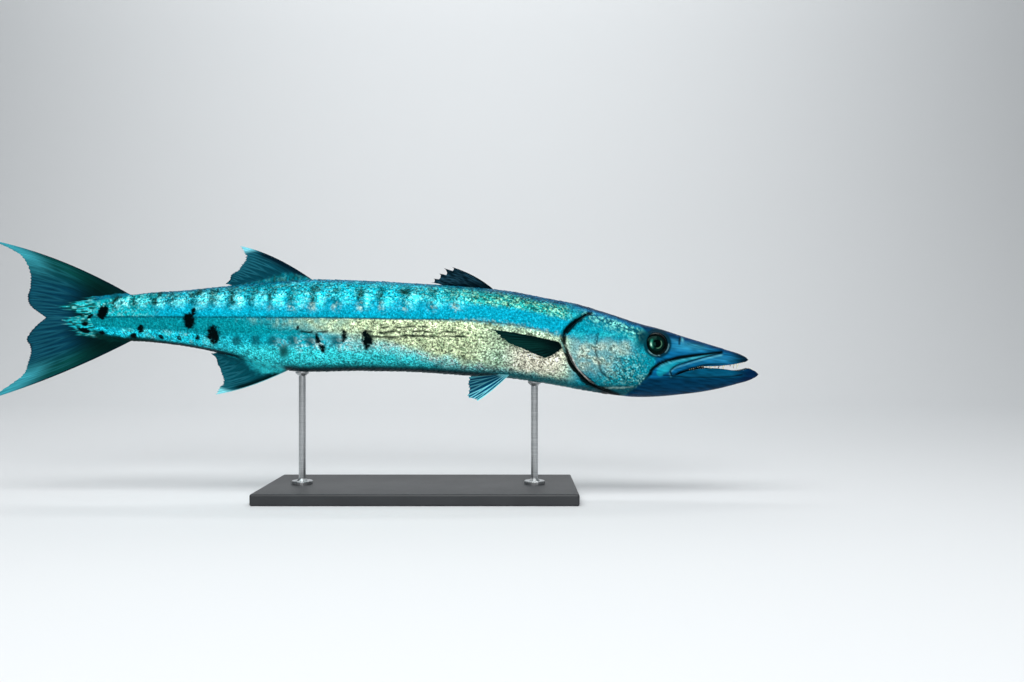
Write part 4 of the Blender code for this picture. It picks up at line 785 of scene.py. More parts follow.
wet = add(tree, "ShaderNodeBsdfPrincipled", {"Base Color": glow.outputs[2], "Metallic": metal.outputs[0],
                                             "Roughness": dull.outputs["Result"],
                                             "Specular IOR Level": 0.07, "Specular Tint": paint("#3FC4D8"), "Normal": bumps.outputs["Normal"]})
add(tree, "ShaderNodeOutputMaterial", {"Surface": wet.outputs["BSDF"]})
skin.data.materials.append(silvered_skin)
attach(skin, "root")
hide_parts("head", "lower_jaw", "gill_cover_right", "gill_cover_left", "maxilla_right", "maxilla_left",
            "trunk_front", "trunk_rear", "tail_stalk")


# Scales: thin horny plates, about 95 along each side, rooted in front and lapped like tiles towards
# the tail. Those of the nape, gill cover and cheek are half as large and lie flatter.
SCALE_ROWS = 26
SCALE_PITCH = 0.0076
SCALE_RISE = 0.0006
STATIONS = np.linspace(-0.402, 0.420, 120)


def girth_table():
    """For each station the half girth, and the turn against the share of it: arc length inverted."""
    turns = np.linspace(0, 1, 241)
    points = section_point(STATIONS[:, None], turns[None, :])
    steps = np.linalg.norm(np.diff(points, axis=1), axis=-1)
    length = np.concatenate([np.zeros((len(STATIONS), 1)), np.cumsum(steps, 1)], 1)
    shares = np.linspace(0, 1, 121)
    table = np.array([np.interp(shares * row[-1], row, turns) for row in length])
    return length[:, -1], table


HALF_GIRTH, TURN_TABLE = girth_table()


def turn_at_share(x, share):
    """Turn at a share of the half girth, from the table's four nearest values."""
    i = np.clip((x - STATIONS[0]) / (STATIONS[1] - STATIONS[0]), 0, len(STATIONS) - 1.001)
    j = np.clip(share, 0, 1) * 119.999
    s, t = i % 1, j % 1
    i, j = i.astype(int), j.astype(int)
    low = TURN_TABLE[i, j] * (1 - t) + TURN_TABLE[i, j + 1] * t
    high = TURN_TABLE[i + 1, j] * (1 - t) + TURN_TABLE[i + 1, j + 1] * t
    return low * (1 - s) + high * s


def lay_scales(name, x, share, pitch, wide, rise, side, seed, stations=(0.0, 0.35, 0.55, 0.75, 0.9, 1.0), columns=7):
    """Scales rooted at places and girth shares: x falls with u from the root, and the free edge is a
    rounded arc, u (1 - 0.35 vv); the lift grows with u, sinks at the sides, and is turned down as a rim."""
    random = np.random.default_rng(seed)
    corner = np.arange(len(stations) * columns).reshape(-1, columns)
    u, v = np.repeat(stations, columns), np.tile(np.linspace(-1, 1, columns), len(stations))
    rim = np.concatenate([corner[-2, :1], corner[-1], corner[-2, -1:]])
    down = np.concatenate([np.zeros(corner.size), np.ones(len(rim))])
    u, v = np.concatenate([u, u[rim]]), np.concatenate([v, v[rim]])
    length = 1.55 * pitch[:, None] * (1 + 0.08 * random.standard_normal((len(x), 1)))
    rise = rise * (1 + 0.3 * random.standard_normal((len(x), 1)))
    tilt = 0.12 * random.standard_normal((len(x), 1))
    px = x[:, None] - u * length * (1 - 0.35 * v * v)
    across = v * (0.80 + 0.35 * u - 0.25 * u * u) * wide[:, None] * 0.62 + tilt * u * wide[:, None]
    girth = np.interp(px, STATIONS, HALF_GIRTH)
    turn = turn_at_share(px, share[:, None] + across / girth)
    lift = (-0.0006 + (rise + 0.0006) * u ** 0.8) * (1 - down) - 0.0003 * v * v * u - 0.0002 * down
    points = skin_point(px, turn, lift)
    colours, silver = markings(points)
    # Painted light on each scale: a random brightness as its own glint, darker at the root where the scale in front
    # lies over it, and darker on the turned-down rim: painted glint and painted shade.
    bright = np.exp(0.20 * silver * random.standard_normal((len(x), 1))) * (0.82 + 0.28 * u) * (1 - 0.4 * down)
    quads = np.stack([corner[:-1, :-1], corner[:-1, 1:], corner[1:, 1:], corner[1:, :-1]], -1).reshape(-1, 4)
    lower = corner.size + np.arange(len(rim))
    skirt = np.stack([rim[:-1], rim[1:], lower[1:], lower[:-1]], -1)
    one = np.concatenate([quads, skirt])
    faces = one[None] + len(u) * np.arange(len(x))[:, None, None]
    faces = faces.reshape(-1, 4)
    if side < 0:
        faces = faces[:, ::-1]
    mesh = bpy.data.meshes.new(name)
    mesh.from_pydata((points * (1, -side, 1)).reshape(-1, 3), [], faces.tolist())
    mesh.shade_smooth()
    patch_u = (x[:, None] + 0.41) / 0.97 + (u - 0.5) * 0.003
    patch_v = share[:, None] * 0.98 + 0.01 + v * 0.0015
    places = np.stack([patch_u, patch_v + 0 * patch_u], -1).reshape(-1, 2)
    layer = mesh.uv_layers.new(name="OFBake")
    layer.data.foreach_set("uv", places[faces.ravel()].astype(np.float32).ravel())
    piece = bpy.data.objects.new(name, mesh)
    bpy.context.scene.collection.objects.link(piece)
    put_marks(piece, (colours * bright[..., None]).reshape(-1, 3), silver.ravel())
    piece.data.materials.append(silvered_skin)
    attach(piece, "root")


along = np.cumsum(SCALE_PITCH * (0.70 + 0.30 * ease(-0.40, -0.20, np.linspace(-0.40, 0.36, 130))))
for label, side in (("right", -1), ("left", 1)):
    row, number = np.meshgrid(np.arange(SCALE_ROWS), np.arange(120), indexing="ij")
    x = -0.390 + np.interp(number + 0.5 * (row % 2), np.arange(130), along)
    share = (row + 0.5) / SCALE_ROWS
    wide = np.interp(x, STATIONS, HALF_GIRTH) / SCALE_ROWS
    turn = turn_at_share(np.clip(x, -0.4, 0.41), share)
    keep = (x < smooth(GILL_EDGE, turn) - 0.0095) & (x > tail_end(turn) + 0.008)
    pitch = SCALE_PITCH * (0.70 + 0.30 * ease(-0.40, -0.20, x))
    lay_scales(f"body_scales_{label}", x[keep], share[keep], pitch[keep], wide[keep], SCALE_RISE, side, 20 + side)
    row, number = np.meshgrid(np.arange(40), np.arange(70), indexing="ij")
    x = 0.262 + 0.0040 * (number + 0.5 * (row % 2))
    share = (row + 0.5) / 40
    wide = np.interp(x, STATIONS, HALF_GIRTH) / 40
    turn = turn_at_share(x, share)
    high = section_point(x, turn)[..., 2] - LEVEL
    free = cover_share(turn)
    keep = (x > smooth(GILL_EDGE, turn) + 0.0085 * free - 0.009 * (1 - free)) & (x < smooth(BARE_EDGE, high) - 0.002)
    keep &= (np.abs(x - 0.3855) > 0.0115) | (np.abs(high - 0.0045) > 0.0125)
    keep &= (line_distance(PREOPERCLE, x, high) > 0.0022) & (high > -0.064)
    keep &= np.hypot(x - EYE_CENTRE[0], high - EYE_CENTRE[1]) > 0.0205
    pitch = np.full(x.shape, 0.0040)
    lay_scales(f"head_scales_{label}", x[keep], share[keep], pitch[keep], wide[keep], 0.0003, side, 30 + side,
               (0.0, 0.55, 1.0), 5)


# Eyes: glass taxidermy eyes, each a clear dome over a painted iris, set in the sockets and held by
# the skin's rim. The pupil is black, the iris a thin gold-green ring, brightest behind the pupil,
# where a green-white glint is painted on.


def placed(points, centre, out):
    """Points given about the Z axis, turned so that Z becomes the outward direction at the centre."""
    side_axis = np.cross([0, 0, 1.0], out)
    side_axis /= np.linalg.norm(side_axis)
    return centre + points @ np.array([side_axis, np.cross(out, side_axis), out])


def round_sheet(name, points, sheet_faces):
    """Object from points and faces, with its normals turned outwards."""
    mesh = bpy.data.meshes.new(name)
    mesh.from_pydata(points, [], sheet_faces)
    shape = bmesh.new()
    shape.from_mesh(mesh)
    bmesh.ops.remove_doubles(shape, verts=shape.verts, dist=1e-7)
    bmesh.ops.recalc_face_normals(shape, faces=shape.faces)
    shape.to_mesh(mesh)
    shape.free()
    mesh.shade_smooth()
    piece = bpy.data.objects.new(name, mesh)
    bpy.context.scene.collection.objects.link(piece)
    return piece


def wrapped_quads(rows, columns):
    """Quads of a grid whose columns close into a ring."""
    corner = np.arange(rows * columns).reshape(rows, columns)
    after = np.roll(corner, -1, axis=1)
    return np.stack([corner[:-1], after[:-1], after[1:], corner[1:]], -1).reshape(-1, 4).tolist()


def eyeball(name, side):
    """Ellipsoid of revolution about the outward direction, by polar angle and turn."""
    centre, out = eye_frame(side)
    polar = np.linspace(0, np.pi, 72)[:, None]
    round_ = np.linspace(0, 2 * np.pi, 96, endpoint=False)[None, :]
    reach = EYE_RADIUS * np.sin(polar)
    points = np.stack([reach * np.cos(round_), reach * np.sin(round_), EYE_DEPTH * np.cos(polar) + 0 * round_], -1)
    piece = round_sheet(name, placed(points.reshape(-1, 3), centre - out * EYE_SINK, out), wrapped_quads(72, 96))
    seen = vertex_places(piece) - centre
    u, v = seen[:, 0] + 0.0010, seen[:, 2] + 0.0002
    apart, angle = np.hypot(u, v), np.arctan2(v, u)
    streak = 0.5 + 0.5 * np.sin(angle * 46) * np.sin(angle * 17 + 1)
    colours = np.zeros((len(seen), 3)) + linear("#010506")
    iris = ease(0.0052, 0.0058, apart) * (1 - ease(0.0092, 0.0112, apart))
    colours = tint(colours, "#062A26", iris * (0.25 + 0.4 * streak))
    thin = np.exp(-((apart - 0.0066) / 0.0005) ** 2) * ease(-1.95, -1.5, angle) * ease(0.80, 0.35, angle)
    colours = tint(colours, "#6FA884", thin * (0.35 + 0.45 * streak))
    # Behind the pupil: a brighter green crescent, partly painted highlight, and on it a painted green-white glint.
    turned = np.pi - np.abs(angle)
    rear = np.exp(-((apart - 0.0084) / 0.0016) ** 2 - (turned / 0.70) ** 4) * ease(0.0052, 0.0062, apart)
    colours = tint(colours, "#2A9A80", rear * (0.35 + 0.55 * streak))
    glow = np.exp(-((apart - 0.0087) / 0.0008) ** 2 - ((np.arctan2(v, -u) + 0.15) / 0.26) ** 2)
    colours = tint(colours, "#D2FFE6", glow * 0.95)
    put_marks(piece, colours, np.zeros(len(seen)))
    return piece


# Cast glass: clear and polished, so the painted iris shows under a hard highlight.
eye_glass, tree = blank_material("cast_glass_eye")
marks = add(tree, "ShaderNodeAttribute", attribute_name="markings")
glass = add(tree, "ShaderNodeBsdfPrincipled", {"Base Color": marks.outputs["Color"], "Roughness": 0.06,
                                               "Specular IOR Level": 0.15, "Specular Tint": paint("#3FA890")})
add(tree, "ShaderNodeOutputMaterial", {"Surface": glass.outputs["BSDF"]})
for label, side in (("right", -1), ("left", 1)):
    eye = eyeball(f"glass_eye_{label}", side)
    eye.data.materials.append(eye_glass)
    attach(eye, "root")
    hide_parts(f"eye_{label}")


# Tongue: a low, dark pad of cast resin, fixed to the floor of the mouth well behind the fangs. It
# closes the view between the lips near the mouth's corner, and its near-black colour stands in there as
# painted shade inside the mouth.
TONGUE_LINE = [(0.425, -0.0490), (0.440, -0.0440), (0.460, -0.0390), (0.475, -0.0375)]
TONGUE_UP, TONGUE_DOWN, TONGUE_HALF_WIDTH = 0.0045, 0.0115, 0.009
polar = np.linspace(0, np.pi, 40)[:, None]
round_ = np.linspace(0, 2 * np.pi, 48, endpoint=False)[None, :]
reach = np.sin(polar) ** 0.6
x = 0.4495 - 0.0245 * np.cos(polar) + 0 * round_
z = LEVEL + smooth(TONGUE_LINE, x) + reach * np.sin(round_) * np.where(np.sin(round_) > 0, TONGUE_UP, TONGUE_DOWN)
pad = np.stack([x, TONGUE_HALF_WIDTH * reach * np.cos(round_), z], -1)
tongue = round_sheet("resin_tongue", pad.reshape(-1, 3), wrapped_quads(40, 48))
places = vertex_places(tongue)
grain = 0.7 + 0.6 * mottle(places[:, 0], places[:, 1], 0.002, 33)
put_marks(tongue, linear("#05222A") * grain[:, None], 0 * grain)
tongue.data.materials.append(silvered_skin)
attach(tongue, "root")


# Teeth: flat, sharp ivory blades, cast in resin and set in the gums. A few long fangs stand in the
# front of the upper jaw, one at the tip of the lower, with rows of short ones between them.
def tooth(base, reach, radius):
    """Upright blade: rings of radius r (1 - t^1.5)^0.75, narrower across, bent back by tt."""
    t = np.linspace(0, 1, 8)[:, None]
    angle = np.linspace(0, 2 * np.pi, 10, endpoint=False)[None, :]
    thick = radius * (1 - t ** 1.5) ** 0.75
    x = thick * np.cos(angle) - 0.14 * np.abs(reach) * t * t
    y = 0.6 * thick * np.sin(angle)
    return base + np.stack([x, y, reach * t + 0 * angle], -1)


def jaw_edge(sheet_edge, x):
    """Place on a lip's edge line at x."""
    return np.stack([x, np.interp(x, sheet_edge[:, 0], sheet_edge[:, 1]), np.interp(x, sheet_edge[:, 0], sheet_edge[:, 2])], -1)


random = np.random.default_rng(4)
teeth_points, teeth_faces = [], []
upper_teeth = [(0.5200, 0.0102, 0.0015), (0.5150, 0.0072, 0.0013), (0.4990, 0.0078, 0.0017), (0.4868, 0.0056, 0.0012),
               (0.4813, 0.0060, 0.0014), (0.4752, 0.0045, 0.0011)]
upper_teeth += [(x, 0.0034 + 0.0008 * random.random(), 0.0007) for x in np.arange(0.4500, 0.5330, 0.0030)]
lower_teeth = [(0.5405, 0.0050, 0.0012), (0.5365, 0.0032, 0.0008)]
lower_teeth += [(x, 0.0026 + 0.0006 * random.random(), 0.0007) for x in np.arange(0.4560, 0.5340, 0.0033)]
for rows, edge, down in ((upper_teeth, upper[:, -1], -1), (lower_teeth, lower[:, 0], 1)):
    for x, reach, radius in rows:
        for side in (1, -1):
            base = jaw_edge(edge, np.array(x)) + (0, 0.0017, -0.0012 * down)
            ring = tooth(base, down * reach, radius) * (1, side, 1)
            start = sum(len(p) for p in teeth_points)
            teeth_points.append(ring.reshape(-1, 3))
            teeth_faces += (np.array(wrapped_quads(8, 10)) + start).tolist()
            teeth_faces.append(list(range(start, start + 10)))
teeth = round_sheet("ivory_teeth", np.concatenate(teeth_points), teeth_faces)
# Ivory: cast resin polished like enamel, creamier in soft patches.
ivory, tree = blank_material("polished_resin_ivory")
spot = add(tree, "ShaderNodeTexCoord")
cloud = add(tree, "ShaderNodeTexNoise", {"Vector": spot.outputs["Object"], "Scale": 1 / 0.003, "Detail": 2.0})
tone = add(tree, "ShaderNodeValToRGB", {"Fac": cloud.outputs["Fac"]}, stops=[(0.3, "#CFC7A8"), (0.7, "#F1EDDD")])
enamel = add(tree, "ShaderNodeBsdfPrincipled", {"Base Color": tone.outputs["Color"], "Roughness": 0.22,
                                                "Subsurface Weight": 0.15, "Subsurface Scale": 0.001})
add(tree, "ShaderNodeOutputMaterial", {"Surface": enamel.outputs["BSDF"]})
teeth.data.materials.append(ivory)
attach(teeth, "root")


# Fins: thin webs of skin stretched over rays that fork towards the edge, cast in tinted resin and let
# into slots in the back, belly and flanks. First the sheet that they all share.
def fin_rays(across, s, forks, width):
    """Nearness to a ray, 1 on it to 0 between: a bell over the distance to the nearest branch, where
    each ray but the two at the ends forks in two over the given shares of its length."""
    apart = np.abs(across - np.round(across))
    gap = np.minimum(0.25, np.minimum(across, across.max() - across))
    for low, high in forks:
        apart = np.abs(apart - gap * ease(low, high, s))
        gap = gap / 2
    return np.exp(-(apart / (width * (1 - 0.55 * s))) ** 2)


def fin(name, roots, tips, bows, colour_of, per_gap, steps, edge=None, base=None, fade=0.35, sink=0.0025,
        notch=0.03, ragged=0.03, forks=((0.30, 0.75), (0.60, 1.0)), web=(0.0009, 0.0004), ray=(0.0018, 0.0006),
        flat=True, rays_per_gap=1):
    """Closed thin fin. Its middle surface is root + (tip - root) s + 4 bow s (1 - s), with control rays
    joined by smooth curves, and its half thickness swells from web to ray, and to the base at the root."""
    gaps = len(roots) - 1
    count = gaps * per_gap + 1
    start, end, bend = curve(roots, count), curve(tips, count), curve(bows, count)
    across = np.linspace(0, gaps * rays_per_gap, count)[None, :]
    reach = np.ones(count) if edge is None else edge(np.linspace(0, gaps, count))
    length = np.linalg.norm(end - start, axis=1)
    first = -sink / length
    t = np.linspace(0, 1, steps)[:, None]
    s = first[None, :] + (reach - first)[None, :] * t
    middle = start[None] + (end - start)[None] * s[..., None] + bend[None] * (4 * s * (1 - s))[..., None]
    near_ray = fin_rays(across, s, forks, 0.17)
    torn = ragged * mottle(across[0], 0 * across[0], 0.21, 23) * ease(0.3, 1.2, across[0])
    frill = 1 - notch * (1 - near_ray[-1]) - torn
    s = first[None, :] + (reach * frill - first)[None, :] * t
    middle = start[None] + (end - start)[None] * s[..., None] + bend[None] * (4 * s * (1 - s))[..., None]
    near_ray = fin_rays(across, s, forks, 0.17)
    inner = np.clip(s, 0, 1)
    thick = web[0] + (web[1] - web[0]) * inner + near_ray * ((ray[0] - web[0]) + (ray[1] - web[1] - ray[0] + web[0]) * inner)
    half = 0.5 * thick
    if base is not None:
        root_half = curve(np.array(base)[:, None], count)[:, 0][None, :]
        half = half + np.maximum(root_half - half, 0) * (1 - ease(0, fade, s)) ** 1.3
    half = half * np.minimum(1, 0.25 + 0.75 * np.sqrt(np.clip((1 - t) / 0.03, 0, 1)))
    out = np.zeros(middle.shape) + (0, -1, 0)
    if not flat:
        out = np.cross(np.gradient(middle, axis=1), np.gradient(middle, axis=0))
        out /= np.linalg.norm(out, axis=-1, keepdims=True)
    near, far = middle + out * half[..., None], middle - out * half[..., None]
    ring = np.concatenate([near, far[:, ::-1]], 1)
    rows, columns = ring.shape[:2]
    i = np.arange(count - 1)
    caps = [np.stack([row + i, row + i + 1, row + columns - 2 - i, row + columns - 1 - i], -1)
            for row in (0, (rows - 1) * columns)]
    faces = wrapped_quads(rows, columns) + np.concatenate(caps).tolist()
    mesh = bpy.data.meshes.new(name)
    mesh.from_pydata(ring.reshape(-1, 3), [], faces)
    colours, shine = colour_of(across / across[0, -1] + 0 * s, s, near_ray, near)
    colours = np.concatenate([colours, colours[:, ::-1]], 1).reshape(-1, 3)
    shine = np.concatenate([shine, shine[:, ::-1]], 1).ravel()
    spread = np.concatenate([across + 0 * s, (across + 0 * s)[:, ::-1]], 1).ravel()
    climb = np.concatenate([s, s[:, ::-1]], 1).ravel()
    corners = np.empty(len(mesh.loops), np.int64)
    mesh.loops.foreach_get("vertex_index", corners)
    layer = mesh.uv_layers.new(name="rays")
    layer.data.foreach_set("uv", np.stack([spread[corners], climb[corners]], -1).astype(np.float32).ravel())
    shape = bmesh.new()
    shape.from_mesh(mesh)
    bmesh.ops.recalc_face_normals(shape, faces=shape.faces)
    shape.to_mesh(mesh)
    shape.free()
    mesh.shade_smooth()
    piece = bpy.data.objects.new(name, mesh)
    bpy.context.scene.collection.objects.link(piece)
    put_marks(piece, colours, shine)
    mesh.materials.append(tinted_resin)
    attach(piece, "root")
    return piece


# Tinted resin: cast clear and dyed, with fine streaks along the rays. Its surface stays satin and damp.
STREAKS = 3.0
tinted_resin, tree = blank_material("tinted_cast_resin")
marks = add(tree, "ShaderNodeAttribute", attribute_name="markings")
ribs = add(tree, "ShaderNodeUVMap", uv_map="rays")
stretch = add(tree, "ShaderNodeMapping", {"Vector": ribs.outputs["UV"], "Scale": (STREAKS, 1.6, 1.0)})
streak = add(tree, "ShaderNodeTexNoise", {"Vector": stretch.outputs["Vector"], "Scale": 2.2, "Detail": 4.0,
                                          "Roughness": 0.7})
shade = add(tree, "ShaderNodeMapRange", {"Value": streak.outputs["Fac"], "From Min": 0.3, "From Max": 0.7,
                                         "To Min": 0.6, "To Max": 1.45})
spot = add(tree, "ShaderNodeTexCoord")
shine = add(tree, "ShaderNodeAttribute", attribute_name="silver")
grain = add(tree, "ShaderNodeTexNoise", {"Vector": spot.outputs["Object"], "Scale": 1 / GRAIN, "Detail": 2.0,
                                         "Roughness": 0.65})
# Where silvered skin runs onto a fin it takes the skin's grain, partly its tone and partly painted glitter.
sparkle = add(tree, "ShaderNodeMapRange", {"Value": grain.outputs["Fac"], "From Min": 0.34, "From Max": 0.66,
                                           "To Min": 0.30, "To Max": 2.0})
tone = add(tree, "ShaderNodeMix", {0: shine.outputs["Fac"], 2: shade.outputs["Result"],
                                   3: sparkle.outputs["Result"]}, data_type="FLOAT")
base = add(tree, "ShaderNodeVectorMath", {0: marks.outputs["Color"], 1: tone.outputs[0]}, operation="MULTIPLY")
dull = add(tree, "ShaderNodeMapRange", {"Value": streak.outputs["Fac"], "To Min": 0.40, "To Max": 0.60})
bumps = add(tree, "ShaderNodeBump", {"Height": streak.outputs["Fac"], "Strength": 0.3, "Distance": 0.0003})
film = add(tree, "ShaderNodeBsdfPrincipled", {"Base Color": base.outputs["Vector"], "Roughness": dull.outputs["Result"],
                                              "Specular IOR Level": 0.14, "Specular Tint": paint("#2F9CB4"), "Normal": bumps.outputs["Normal"]})
add(tree, "ShaderNodeOutputMaterial", {"Surface": film.outputs["BSDF"]})


def on_back(x, turn=0.0):
    """Points in the middle plane on the back (turn 0) or the belly (turn 1)."""
    return section_point(np.asarray(x, float), turn) * (1, 0, 1)


def in_plane(pairs):
    """Points in the middle plane from places along and heights."""
    pairs = np.array(pairs, float)
    return np.stack([pairs[:, 0], 0 * pairs[:, 0], LEVEL + pairs[:, 1]], -1)


def bends(pairs):
    """Bows in the middle plane from shifts along and up."""
    pairs = np.array(pairs, float)
    return np.stack([pairs[:, 0], 0 * pairs[:, 0], pairs[:, 1]], -1)


# First dorsal fin: five stiff spines, half folded, with the web cut back between their sharp points.
def spiny_edge(place):
    """The web leaves each spine's point and meets the next spine lower down, so points stand free."""
    t = place % 1
    return 1 - np.where(place > 0, 0.17 * np.clip(t / 0.86, 0, 1) ** 0.7 * (1 - ease(0.86, 0.99, t)), 0)


def dark_web(u, s, near_ray, points):
    """Navy black, greyer in the middle of each web, darker along the front spine."""
    colours = np.zeros(points.shape) + linear("#020B14")
    colours = tint(colours, "#24495A", mottle(u * 0.055, 0.02 * s, 0.0022, 31) ** 2 * ease(0.1, 0.4, s) * ease(0.95, 0.75, s) * 0.9)
    colours = tint(colours, "#01060C", ease(0.10, 0.0, u) * 0.9)
    return tint(colours, "#020A14", ease(0.82, 0.97, s) * 0.8), 0 * s


roots = on_back([0.173, 0.157, 0.141, 0.122, 0.101])
piece = fin("first_dorsal_web", roots, in_plane([(0.113, 0.1060), (0.102, 0.1041), (0.095, 0.0964), (0.087, 0.0891),
                                                 (0.084, 0.0838)]),
            bends([(0.002, 0.0030), (0.001, 0.0020), (0.001, 0.0015), (0, 0.0010), (0, 0.0004)]), dark_web, 24, 46,
            edge=spiny_edge, forks=(), web=(0.0008, 0.0004), ray=(0.0026, 0.0010))
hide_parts("first_dorsal_fin")


# Second dorsal and anal fins: a stiff front ray and nine soft, forking ones, rooted in a low sheath of
# scaled skin. Their front tips are pale.
SHEATH = [0.0012, 0.0032, 0.0032, 0.0032, 0.0030, 0.0026, 0.0024, 0.0012]


def soft_web(sheath, front, middle, edge, rim, soft, shade):
    """Colours of a soft fin: sheath at the root, dark front band, streaked middle and pale tip. The
    sheath takes the body's markings, mirrored in lines a little inside the back and the belly."""
    def colour_of(u, s, near_ray, points):
        colours = np.zeros(points.shape) + linear(middle)
        colours = tint(colours, "#2F8496", near_ray * ease(0.25, 0.6, s) * 0.35)
        colours = tint(colours, front, ease(0.20, 0.05, u) * (1 - ease(0.62, 0.82, s)) * 0.95)
        colours = tint(colours, "#011420", ease(0.5, 0.9, u) * ease(0.70, 0.98, s) * 0.7)
        tip = ease(0.72, 0.90, s - 1.6 * np.clip(u - 0.03, 0, 1))
        colours = tint(colours, edge, tip * 0.9)
        colours = tint(colours, edge, rim * ease(0.022, 0.004, u))
        low = np.interp(u, *np.array(sheath).T)
        rough = mottle(points[..., 0], points[..., 2], 0.0025, 13)
        beside = points.copy()
        over = points[..., 2] - LEVEL - smooth(BACK_LINE, points[..., 0]) + 0.007
        under = smooth(BELLY_LINE, points[..., 0]) + 0.018 - points[..., 2] + LEVEL
        beside[..., 2] += 1.3 * (np.maximum(under, 0) - np.maximum(over, 0))
        skin_colours, silver = markings(beside)
        share = 1 - ease(low - soft, low + soft, s + 0.10 * (rough - 0.5))
        colours = colours * (1 - share[..., None]) + shade * skin_colours * share[..., None]
        return colours, 0.7 * silver * share
    return colour_of


piece = fin("second_dorsal_web", on_back(np.linspace(-0.086, -0.200, 9)),
            in_plane([(-0.189, 0.1358), (-0.1845, 0.1273), (-0.182, 0.1187), (-0.186, 0.1128), (-0.191, 0.1042),
                      (-0.197, 0.0990), (-0.203, 0.0945), (-0.204, 0.0885), (-0.210, 0.0815)]),
            bends([(-0.002, 0.0075), (-0.001, 0.0055), (0, 0.0040), (0, 0.0025), (0, 0.0015)] + [(0, 0.0005)] * 4),
            soft_web([(0, 0.0), (0.1, 0.12), (0.25, 0.21), (0.5, 0.17), (0.8, 0.11), (1, 0.04)], "#020E1C",
                     "#053A48", "#7FD8E6", 0.0, 0.07, 0.50), 16, 60, ragged=0.05, base=[SHEATH[min(i, 7)] for i in range(9)])
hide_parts("second_dorsal_fin")
piece = fin("anal_web", on_back(np.linspace(-0.121, -0.222, 8), 1.0),
            in_plane([(-0.224, -0.0765), (-0.2195, -0.0661), (-0.2145, -0.0610), (-0.2155, -0.0523), (-0.218, -0.0423),
                      (-0.2215, -0.0342), (-0.224, -0.0242), (-0.231, -0.0177)]),
            bends([(-0.002, -0.0050), (-0.001, -0.0045), (0, -0.0035), (0, -0.0025), (0, -0.0015)] + [(0, -0.0005)] * 3),
            soft_web([(0, 0.0), (0.05, 0.03), (0.2, 0.19), (0.45, 0.16), (0.7, 0.04), (1, 0.0)], "#010D0B", "#054854", "#86E0EA", 0.8, 0.12, 0.75),
            16, 60, ragged=0.05, base=SHEATH)
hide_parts("anal_fin")


# Tail fin: nine rays to the upper lobe and nine to the lower, spread from the stalk's end, with the
# silver skin running out in streaks along their roots, as far as this line of heights and places.
SILVER_EDGE = [(-0.010, -0.300), (-0.002, -0.360), (0.0024, -0.381), (0.0054, -0.394), (0.0077, -0.410), (0.015, -0.418),
               (0.022, -0.428), (0.029, -0.436), (0.034, -0.430), (0.0365, -0.408), (0.041, -0.410),
               (0.0445, -0.432), (0.049, -0.438), (0.0576, -0.418), (0.0596, -0.405), (0.0636, -0.394),
               (0.0652, -0.379), (0.0670, -0.360), (0.0740, -0.300)]
TAIL_BLOTCHES = 4
def tail_web(u, s, near_ray, points):
    """Dark blue, greener along the outer edge, nearly black at the stalk, paler at the lobes' tips."""
    x, h = points[..., 0], points[..., 2] - LEVEL
    colours = np.zeros(points.shape) + linear("#053448")
    colours = tint(colours, "#063F38", ease(0.50, 0.15, u) * 0.85)
    colours = tint(colours, "#010F0A", (1 - ease(0.12, 0.55, s)) * 0.9)
    colours = tint(colours, "#2C8290", near_ray * ease(0.3, 0.6, s) * 0.22)
    colours = tint(colours, "#01101C", ease(0.045, 0.005, u) * (1 - ease(0.75, 0.95, s)) * 0.95)
    colours = tint(colours, "#011420", ease(0.94, 0.99, s) * ease(0.40, 0.65, u) * 0.85)
    colours = tint(colours, "#3C9FAE", ease(0.60, 0.92, s) * ease(0.42, 0.14, u) * 0.8)
    run = mottle(0.14 * x, h, 0.0015, 17)
    reach = np.interp(h, *np.array(SILVER_EDGE).T)
    share = ease(-0.012, 0.006, x - reach + 0.022 * (run - 0.5))
    beside = points.copy()
    beside[..., 0] = np.maximum(x, -0.400)
    wash, _ = markings(beside)
    wash = tint(wash, "#22BEC6", ease(-0.392, -0.402, x) * 0.5)
    # Pale specks painted on as the silver skin's glitter: painted glints.
    wash = tint(wash, "#A6F2E6", ease(0.60, 0.85, mottle(0.3 * x, h, 0.0012, 19)) * ease(-0.390, -0.402, x) * 0.4)
    wash = tint(wash, "#04342E", ease(0.45, 0.70, mottle(0.22 * x, h, 0.0013, 27)) * ease(-0.380, -0.400, x) * 0.9)
    colours = colours * (1 - share[..., None]) + wash * share[..., None]
    for bx, bh, long, tall, lean in BLOTCHES[-TAIL_BLOTCHES:]:
        u_, v_ = (x - bx - lean * (h - bh)) / long, (h - bh) / tall
        ink_and_crease_shade = 1 - ease(0.75, 1.10, np.sqrt(u_ * u_ + v_ * v_) + 0.5 * (mottle(x, h, 0.0024, 4) - 0.5))
        colours = tint(colours, "#010404", ink_and_crease_shade)
        share = share * (1 - ink_and_crease_shade)
    return colours, 0.35 * share


